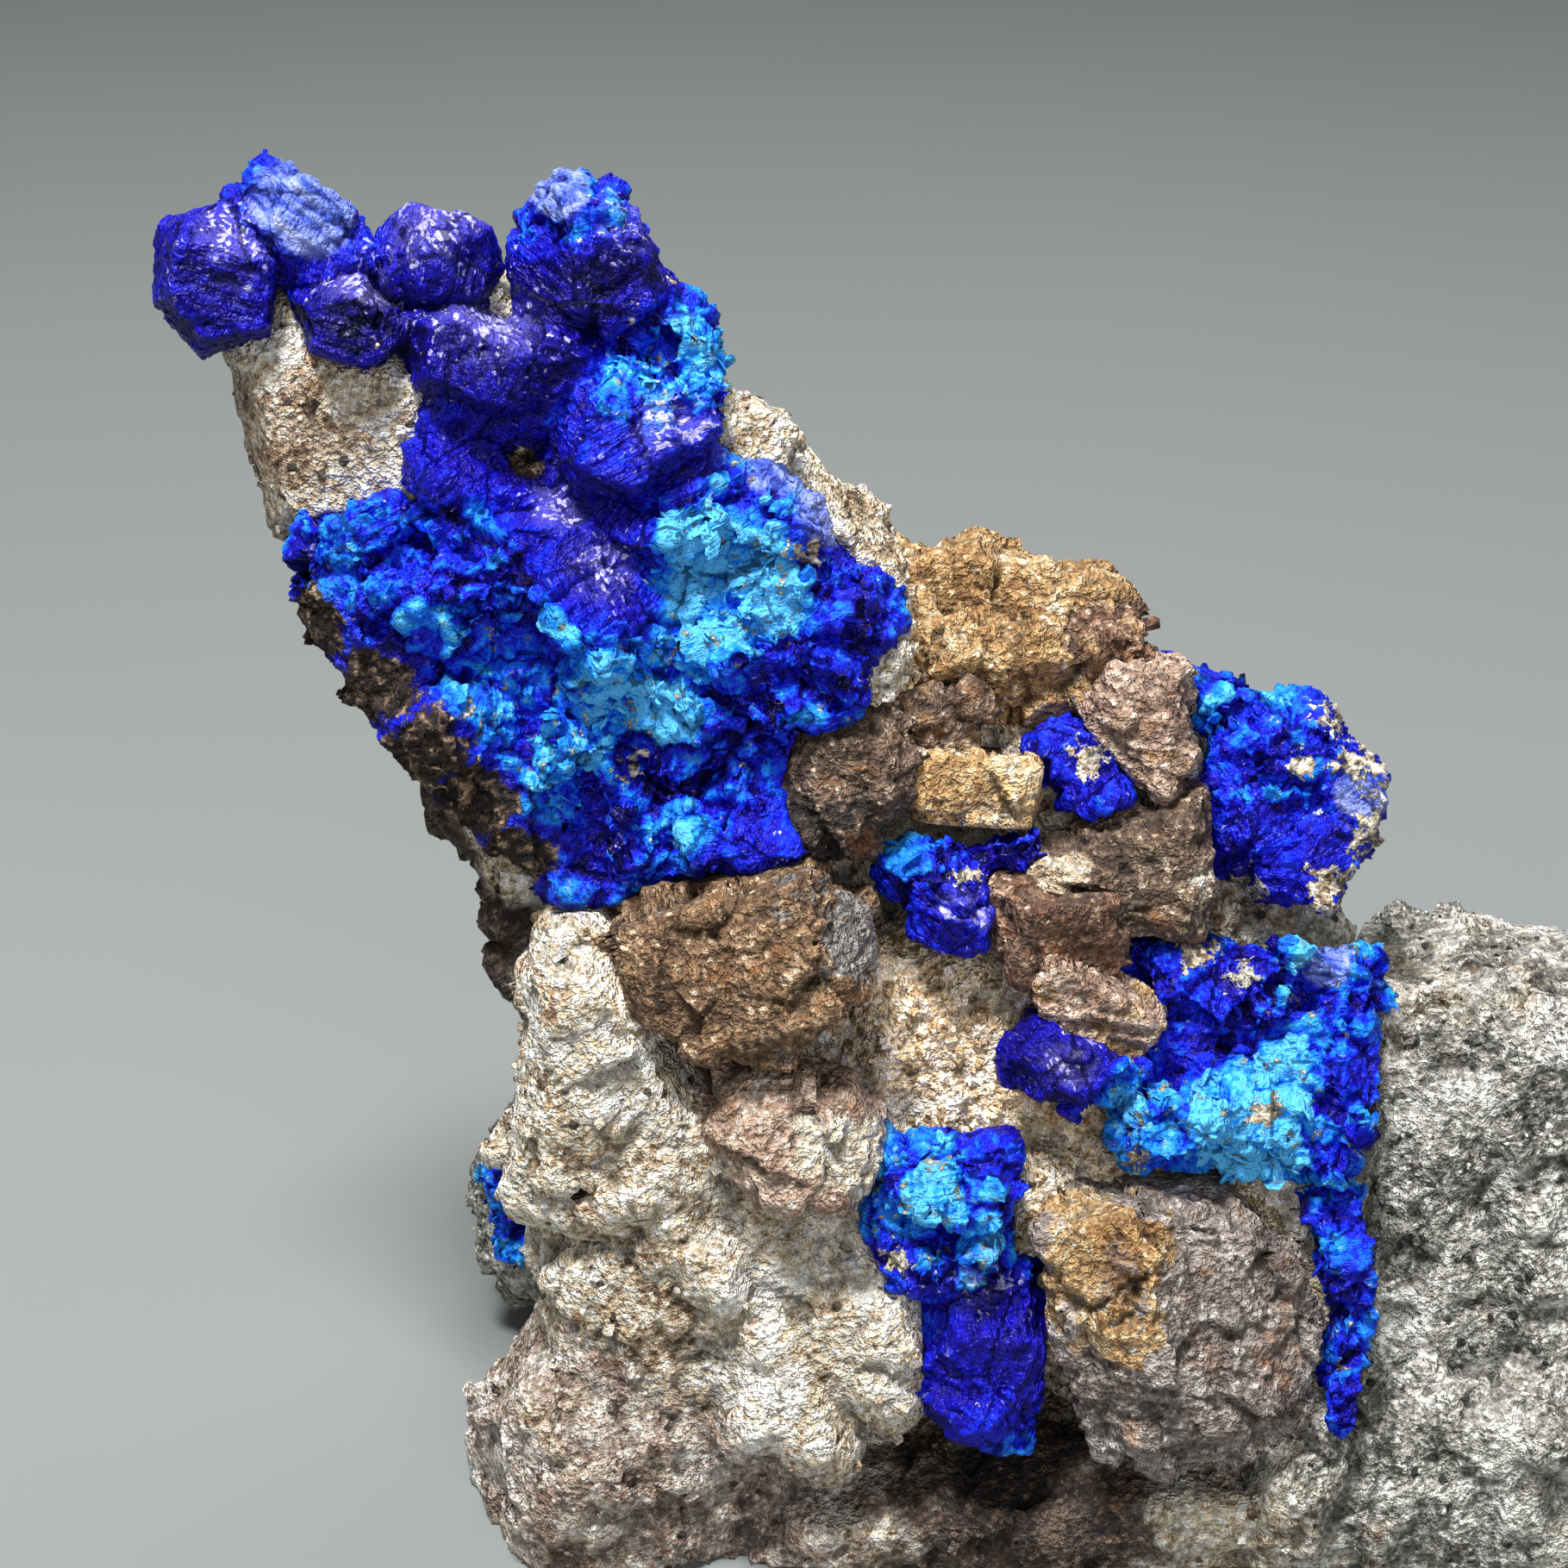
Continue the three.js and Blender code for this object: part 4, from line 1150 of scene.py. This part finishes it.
def matrix_material():
    """Cemented sand and rock bits in tan, cream, brown and grey, with rust and black grains, painted shade
    in hollows and gaps, and painted light where sand lies.
    """
    material, tree, shader, place = new_material("breccia matrix")
    tone, small_tone, gap_shade, height = grain_tone(tree, place)
    tone = tone * 1.18
    ragged = tree.out(tree.noise(place, 1.4, 3.0, 0.65)) - 0.5
    colour = palette(tree, tone, TAN_ROCK)
    for zone, colours in ZONE_COLOURS.items():
        share = tree.band(attribute_of(tree, zone) + ragged * 1.3, 0.14, 0.62)
        colour = tree.mix(share, colour, palette(tree, tone, colours))
    rust = tree.band(ragged, 0.08, 0.24)
    colour = tree.mix(rust * (1 - attribute_of(tree, "grey")) * 0.55, colour, paint(152, 100, 60))
    black = tree.band(small_tone, 0.014, 0.010) * tree.band(gap_shade, 0.80, 0.97)
    colour = tree.mix(black * 0.9, colour, paint(26, 22, 22))
    sand = attribute_of(tree, "sand")
    colour = tree.mix(sand * 0.4, colour, paint(208, 172, 122))
    # Painted light: where sand lies the colour is made up to 1.9 times lighter, over the painted shade
    # between grains.
    light = gap_shade * (1 + sand * 0.9)
    tree.feed(shader.inputs["Base Color"], shaded(tree, colour, light))
    glint = tree.band(small_tone, 0.86, 0.92)
    tree.feed(shader.inputs["Roughness"], 0.85 - glint * 0.5)
    add_relief(tree, shader, height, MATRIX_BUMP)
    return material


def fragment_material(node, look):
    """A fragment of one rock with a second colour in patches, layers and fine grains."""
    material, tree, shader, place = new_material(node + " rock")
    tone, small_tone, gap_shade, height = grain_tone(tree, place)
    layer = layers_of(tree, place) - 0.5
    tone = tone * 0.9 + 0.03 + layer * look["layers"] * 1.5
    colour = palette(tree, tone, look["colours"])
    spots = tree.out(tree.noise(place, 1.6, 3.0, 0.65))
    share = spots
    if "patch_at" in look:
        middle, reach = look["patch_at"]
        away = tree.vector("DISTANCE", place, middle)
        share = spots * 2.2 - 0.6 + tree.band(away, reach * 0.3, reach * 1.9, 0.34, -0.34)
    colour = tree.mix(tree.band(share, 0.50, 0.66), colour, palette(tree, tone, look["patches"]))
    rust = tree.band(spots, 0.44, 0.30)
    colour = tree.mix(rust * 0.5, colour, paint(164, 108, 58))
    # Painted shade in hollows and between grains, and painted light on ridges.
    tree.feed(shader.inputs["Base Color"], shaded(tree, colour, gap_shade))
    tree.feed(shader.inputs["Roughness"], 0.80 - tree.band(small_tone, 0.80, 0.90) * 0.5)
    if look["layers"] > 0.15:
        height = height + layer * look["layers"] * 4.0
    add_relief(tree, shader, height, FRAGMENT_BUMP)
    return material


def blue_tone_and_shade(tree, chance, mottle):
    """How bright the blue is: its tone, mottled, with painted light on ridges and painted shade in hollows
    and on faces that face down.
    """
    tone = attribute_of(tree, "tone")
    depth = tone + mottle * tree.band(tone, 0.25, 0.6, 0.30, 1.5) + (chance - 0.5) * 0.10
    # The plates of the crusts bring their own random tones and painted shade in the cracks between them.
    depth = depth + attribute_of(tree, "plate") + attribute_of(tree, "own") * 0.3
    # Painted light on small ridges, painted shade in hollows and on faces that face down.
    depth = depth + tree.band(attribute_of(tree, "ridge"), -0.02, 0.05, -0.06, 0.08)
    depth = depth + tree.band(attribute_of(tree, "swell"), -0.35, 0.1, -0.18, 0.03)
    return depth + tree.band(attribute_of(tree, "up"), -0.7, 0.2, -0.10, 0.0)


def blue_colour(tree, settings, depth):
    """The blues of the azurite, from the deepest to the brightest."""
    return tree.ramp(depth, (
        (0.0, paint(4, 2, 44)),
        (0.16, tuple(settings.violet)),
        (0.38, tuple(settings.ultramarine)),
        (0.58, tuple(settings.royal)),
        (0.76, tuple(settings.azure)),
        (0.94, tuple(settings.turquoise)),
        (1.0, paint(86, 188, 250)),
    ))


def with_painted_sheen(tree, colour, chance, mottle, fine_lines):
    """A colour with a painted sheen and painted glints on the sugary faces that face up, and where the
    glints are.
    """
    painted_sheen = attribute_of(tree, "sugar") * tree.band(attribute_of(tree, "up"), -0.4, 0.7) + mottle * 0.4
    glint = tree.band(chance * 0.5 + fine_lines * 1.6 + painted_sheen * 0.40, 1.44, 1.62)
    # Painted sheen: a soft lavender laid over the blue where the sugary faces face up.
    colour = tree.mix(tree.band(painted_sheen, 0.2, 0.9) * 0.35, colour, paint(112, 106, 200))
    # Painted glints: lavender-white specks, whose places also get a clear coat.
    return tree.mix(glint * 0.8, colour, paint(188, 184, 236)), glint


def with_streaks(tree, colour, place, mottle):
    """A colour with the pale, streaked cleavage faces over it."""
    streak = tree.out(tree.noise(streak_place(tree, place), 1.0, 3.0, 0.65))
    pale = tree.band(attribute_of(tree, "pale") + mottle * 0.5, 0.25, 0.5)
    return tree.mix(pale * 0.9, colour, tree.ramp(streak, STREAK_COLOURS))


def with_rock(tree, colour, place, chance, mottle):
    """A colour with crumbs, grit and earthy rock over it, and where any of them lies."""
    clumps = tree.out(tree.noise(place, CLUMP_WIDTH, 3.0, 0.7))
    tone = clumps * 1.5 + chance * 0.6 - 0.6
    crumbs = tree.band(clumps + tree.band(attribute_of(tree, "tone"), 0.4, 0.75, -0.2, 0.0), 0.60, 0.65)
    crumb_colour = tree.mix(chance, paint(86, 92, 52), paint(196, 172, 116))
    colour = tree.mix(crumbs * 0.85, colour, crumb_colour)
    grit = tree.band(attribute_of(tree, "grit") + mottle * 1.4 + (clumps - 0.5) * 2.4, 0.62, 0.80)
    tan_share = tree.band(mottle, -0.1, 0.15)
    gritty = tree.mix(tan_share, palette(tree, tone, GREY_ROCK), palette(tree, tone, TAN_ROCK))
    colour = tree.mix(grit, colour, gritty)
    earth = tree.band(attribute_of(tree, "earth") + mottle * 1.6, 0.3, 0.5)
    brown_share = tree.band(clumps, 0.5, 0.62)
    earthy = tree.mix(brown_share, palette(tree, tone, DARK_ROCK), palette(tree, tone, BROWN_ROCK))
    colour = tree.mix(earth, colour, earthy)
    return colour, tree.math("MAXIMUM", tree.math("MAXIMUM", crumbs, grit), earth)


def azurite_material(settings):
    """Blue from deep violet to turquoise, with painted shade in hollows, painted sheen and glints on the
    sugary faces, streaks and bits of rock.
    """
    material, tree, shader, place = new_material("blue crystals")
    facet = tree.cells(place, FACET_WIDTH)
    chance = tree.parts(tree.out(facet, "Color"))[0]
    mottle = tree.out(tree.noise(place, MOTTLE_WIDTH, 4.0, 0.7)) - 0.5
    fine_lines = striated(tree, place, attribute_of(tree, "run", "Vector"))
    depth = blue_tone_and_shade(tree, chance, mottle)
    colour = blue_colour(tree, settings, depth)
    colour, glint = with_painted_sheen(tree, colour, chance, mottle, fine_lines)
    colour = with_streaks(tree, colour, place, mottle)
    colour, rough = with_rock(tree, colour, place, chance, mottle)
    matte = tree.band(depth, 0.55, 0.8)
    tree.feed(shader.inputs["Base Color"], colour)
    tree.feed(shader.inputs["Roughness"], 0.30 + chance * 0.15 + matte * 0.2 + rough * 0.3)
    tree.feed(shader.inputs["Coat Weight"], glint * 0.5)
    for name, value in CRYSTAL_GLOSS.items():
        shader.inputs[name].default_value = value
    height = tilted(tree, place, facet) * 3.2 + fine_lines * 1.2
    height = height + tree.out(tree.noise(place, FINE_FACET_WIDTH, 2.0, 0.65)) * 0.7
    add_relief(tree, shader, height + rough * chance * 0.6, CRYSTAL_BUMP)
    return material


# Pieces

def nearness(places, nodes, reach):
    """How near each place is to the solids of some CAD nodes, from 1 at them to 0 out of reach."""
    mesh = cad_mesh(nodes, "near")
    corners = [vertex.co.copy() for vertex in mesh.vertices]
    faces = [tuple(polygon.vertices) for polygon in mesh.polygons]
    search = BVHTree.FromPolygons(corners, faces)
    bpy.data.meshes.remove(mesh)
    near = np.zeros(len(places))
    for index, place in enumerate(places):
        distance = search.find_nearest(place, reach)[3]
        if distance is not None:
            near[index] = 1.0 - distance / reach
    return near


def patch_share(places, patches):
    """How far each place lies in one of some round patches."""
    share = np.zeros(len(places))
    for middle, reach in patches:
        away = np.linalg.norm(places - np.array(middle), axis=1)
        share = np.maximum(share, falloff(away, reach * PATCH_FADE))
    return share


def build_matrix(settings):
    """Builds the cemented rock, with its colour zones and the places where sand lies."""
    material = matrix_material()
    neighbours = neighbours_of(MATRIX)
    rock = new_object("matrix_rock", cad_mesh([MATRIX], "matrix_rock"))
    add_tree(rock, bits_tree(), {
        "Neighbours": neighbours, "Density": settings.bit_density, "Largest": settings.bit_size / MM,
        "Seed": settings.seed, "Material": material})
    add_cells(rock, settings.matrix_cell / MM)
    settle(rock)
    press_facets(rock.data, settings.break_size / MM, MATRIX_PRESS, settings.seed)
    add_tree(rock, rock_relief_tree(), {"Neighbours": neighbours, "Material": material, **MATRIX_RELIEF})
    settle(rock)
    places = places_of(rock.data)
    for zone, patches in ROCK_ZONES.items():
        set_attribute(rock.data, zone, patch_share(places, patches))
    contact = nearness(places, list(FRAGMENTS), SAND_REACH)
    set_attribute(rock.data, "sand", np.maximum(patch_share(places, SANDY), contact))
    remove_helper(neighbours)
    finish_piece(rock, MATRIX)


def build_fragments(settings):
    """Builds the fragments, each with the planes and layers of its own rock."""
    relief = rock_relief_tree()
    for node, look in FRAGMENTS.items():
        material = fragment_material(node, look)
        neighbours = neighbours_of(node)
        rock = new_object(node + "_rock", cad_mesh([node], node + "_rock"))
        add_cells(rock, settings.fragment_cell / MM)
        add_tree(rock, relief, {
            "Neighbours": neighbours, "Chip Height": look["planes"], "Layer Height": look["layers"],
            "Material": material, **FRAGMENT_RELIEF})
        settle(rock)
        remove_helper(neighbours)
        finish_piece(rock, node)


def seen_from_front(places):
    """Where the line of sight to each place crosses the plane through the middle of the specimen."""
    eye = np.array(EYE)
    share = (0.0 - eye[1]) / (places[:, 1] - eye[1])
    return eye[0] + (places[:, 0] - eye[0]) * share, eye[2] + (places[:, 2] - eye[2]) * share


def spot_share(along, height, spots):
    """How far each seen place lies in one of some round spots."""
    share = np.zeros(len(along))
    for spot_along, spot_height, reach in spots:
        away = np.hypot(along - spot_along, height - spot_height)
        share = np.maximum(share, falloff(away, reach * SPOT_FADE))
    return share


def paint_growth(mesh):
    """Stores how deep or bright the blue of each place is, where a sheen is painted, and where it is pale,
    earthy or flaky.
    """
    along, height = seen_from_front(places_of(mesh))
    total = np.full(len(along), PLAIN_WEIGHT)
    tone = total * PLAIN_TONE
    for spot_along, spot_height, reach, value in BLUE_SPOTS:
        weight = falloff(np.hypot(along - spot_along, height - spot_height), reach * TONE_FADE)
        total += weight
        tone += weight * value
    tone = tone / total
    set_attribute(mesh, "tone", tone)
    set_attribute(mesh, "pale", spot_share(along, height, PALE_SPOTS))
    # Where a sheen and glints are painted on the sugary faces.
    set_attribute(mesh, "sugar", spot_share(along, height, PAINTED_SHEEN_SPOTS))
    earth = spot_share(along, height, EARTHY_SPOTS)
    grit = spot_share(along, height, GRITTY_SPOTS)
    set_attribute(mesh, "earth", earth)
    set_attribute(mesh, "grit", grit)
    set_attribute(mesh, "flakes", np.clip(tone * 2.4 - 1.1 - 3.0 * (earth + grit), 0.0, 1.0))


def build_azurite(settings):
    """Builds the growths: large crystals pressed flat, small ones between them, and their relief."""
    material = azurite_material(settings)
    crust = crust_tree()
    relief = crystal_relief_tree()
    for node in GROWTHS:
        neighbours = neighbours_of(node)
        growth = new_object(node + "_crystals", cad_mesh([node], node + "_crystals"))
        add_tree(growth, crust, {
            "Neighbours": neighbours, "Density": settings.crystal_density,
            "Largest": settings.small_crystal / MM, "Bare Above": BARE_ABOVE,
            "Seed": settings.seed, "Material": material})
        add_cells(growth, settings.crystal_cell / MM)
        settle(growth)
        press_facets(growth.data, settings.facet_size / MM, CRYSTAL_PRESS, settings.seed)
        paint_growth(growth.data)
        add_tree(growth, relief, {
            "Sugar Size": settings.sugar_size / MM, "Material": material, **CRYSTAL_RELIEF})
        settle(growth)
        remove_helper(neighbours)
        finish_piece(growth, node)


def strewn(name, ground, tree, values):
    """A piece of small copies strewn by a tree over a finished piece, still in millimetres."""
    mesh = bpy.data.objects[ground].data.copy()
    set_places(mesh, places_of(mesh) / MM)
    copies = new_object(name, mesh)
    add_tree(copies, tree, values)
    settle(copies)
    bpy.data.meshes.remove(mesh)
    return copies


def build_grains(settings):
    """Strews grains over the finished matrix."""
    neighbours = neighbours_of(MATRIX)
    grains = strewn("matrix_grains", "matrix_rock", grains_tree(), {
        "Neighbours": neighbours, "Density": settings.grain_density, "Largest": settings.grain_size / MM,
        "Seed": settings.seed, "Material": bpy.data.materials["breccia matrix"]})
    remove_helper(neighbours)
    finish_piece(grains, None)


def build_flakes(settings):
    """Sets thin sharp crystals on the bright crusts of the finished growths."""
    tree = flakes_tree()
    for node in GROWTHS:
        neighbours = neighbours_of(node)
        flakes = strewn(node + "_flakes", node + "_crystals", tree, {
            "Neighbours": neighbours, "Density": settings.flake_density, "Largest": settings.flake_size / MM,
            "Seed": settings.seed, "Material": bpy.data.materials["blue crystals"]})
        remove_helper(neighbours)
        if flakes.data.polygons:
            finish_piece(flakes, None)
        else:
            remove_helper(flakes)


# Stage

def add_light(name, power, size, place, target):
    """Adds a square soft light that points at a target."""
    light = bpy.data.lights.new(name, "AREA")
    light.energy = power
    light.size = size
    thing = bpy.data.objects.new(name, light)
    thing.location = place
    thing.rotation_euler = (Vector(target) - Vector(place)).to_track_quat("-Z", "Y").to_euler()
    bpy.context.scene.collection.objects.link(thing)


def add_floor(colour):
    """Lays a plain, slightly clouded floor."""
    material, tree, shader, place = new_material("floor")
    cloud = tree.out(tree.noise(place, 40.0, 2.0))
    pale = tuple(colour)
    darker = tuple(0.94 * part for part in pale)
    tree.feed(shader.inputs["Base Color"], tree.mix(cloud, darker, pale))
    shader.inputs["Roughness"].default_value = 0.9
    bpy.ops.mesh.primitive_plane_add(size=FLOOR_SIDE)
    floor = bpy.context.object
    floor.name = "floor"
    floor.data.materials.append(material)


def add_sky(brightness):
    """Lights the scene evenly from all round."""
    world = bpy.data.worlds.new("studio")
    world.use_nodes = True
    background = world.node_tree.nodes["Background"]
    background.inputs["Color"].default_value = SKY_COLOUR
    background.inputs["Strength"].default_value = brightness
    bpy.context.scene.world = world


def add_camera(focal_length):
    """Sets up the camera that looks at the front of the specimen."""
    lens = bpy.data.cameras.new("camera")
    lens.lens = focal_length
    lens.sensor_width = SENSOR_WIDTH
    lens.clip_start = NEAREST_SEEN
    lens.clip_end = FARTHEST_SEEN
    camera = bpy.data.objects.new("camera", lens)
    camera.location = EYE * MM
    camera.rotation_euler = (math.pi / 2 - EYE_ELEVATION, 0.0, 0.0)
    bpy.context.scene.collection.objects.link(camera)
    bpy.context.scene.camera = camera


def build_stage(settings):
    """Builds the floor, the sky, the lights and the camera."""
    bpy.context.scene.view_settings.view_transform = "Standard"
    add_floor(settings.floor_colour)
    add_sky(settings.sky)
    powers = {"key": settings.key_power, "top": settings.top_power, "fill": settings.fill_power}
    for name, (size, spot) in LIGHTS.items():
        add_light(name, powers[name], size, spot, EYE_TARGET * MM)
    add_camera(settings.focal_length)


# Operators and panel

class SPECIMEN_OT_matrix(bpy.types.Operator):
    """Builds the cemented rock"""

    bl_idname = "specimen.matrix"
    bl_label = "Matrix"

    def execute(self, context):
        build_matrix(context.scene.specimen_rock)
        return {"FINISHED"}


class SPECIMEN_OT_fragments(bpy.types.Operator):
    """Builds the rock fragments in the matrix"""

    bl_idname = "specimen.fragments"
    bl_label = "Rock fragments"

    def execute(self, context):
        build_fragments(context.scene.specimen_rock)
        return {"FINISHED"}


class SPECIMEN_OT_azurite(bpy.types.Operator):
    """Builds the azurite growths"""

    bl_idname = "specimen.azurite"
    bl_label = "Azurite"

    def execute(self, context):
        build_azurite(context.scene.specimen_azurite)
        return {"FINISHED"}


class SPECIMEN_OT_grains(bpy.types.Operator):
    """Strews sand grains over the matrix"""

    bl_idname = "specimen.grains"
    bl_label = "Sand grains"

    def execute(self, context):
        build_grains(context.scene.specimen_rock)
        return {"FINISHED"}


class SPECIMEN_OT_flakes(bpy.types.Operator):
    """Sets thin sharp crystals on the azurite"""

    bl_idname = "specimen.flakes"
    bl_label = "Azurite flakes"

    def execute(self, context):
        build_flakes(context.scene.specimen_azurite)
        return {"FINISHED"}


class SPECIMEN_OT_stage(bpy.types.Operator):
    """Builds the floor, the lights and the camera"""

    bl_idname = "specimen.stage"
    bl_label = "Stage"

    def execute(self, context):
        build_stage(context.scene.specimen_stage)
        return {"FINISHED"}


OPERATORS = (
    SPECIMEN_OT_matrix,
    SPECIMEN_OT_fragments,
    SPECIMEN_OT_azurite,
    SPECIMEN_OT_grains,
    SPECIMEN_OT_flakes,
    SPECIMEN_OT_stage,
)


class SPECIMEN_PT_panel(bpy.types.Panel):
    """Lists the pieces of the specimen"""

    bl_label = "Azurite specimen"
    bl_space_type = "VIEW_3D"
    bl_region_type = "UI"
    bl_category = "Specimen"

    def draw(self, context):
        for operator in OPERATORS:
            self.layout.operator(operator.bl_idname)


SETTINGS = {
    "specimen_rock": RockSettings,
    "specimen_azurite": AzuriteSettings,
    "specimen_stage": StageSettings,
}
CLASSES = (*SETTINGS.values(), *OPERATORS, SPECIMEN_PT_panel)


def register():
    for kind in CLASSES:
        bpy.utils.register_class(kind)
    for name, kind in SETTINGS.items():
        setattr(bpy.types.Scene, name, PointerProperty(type=kind))


def unregister():
    for name in SETTINGS:
        delattr(bpy.types.Scene, name)
    for kind in reversed(CLASSES):
        bpy.utils.unregister_class(kind)


def main():
    register()
    bpy.ops.specimen.stage()
    bpy.ops.specimen.matrix()
    bpy.ops.specimen.fragments()
    bpy.ops.specimen.azurite()
    bpy.ops.specimen.grains()
    bpy.ops.specimen.flakes()


if __name__ == "__main__":
    main()
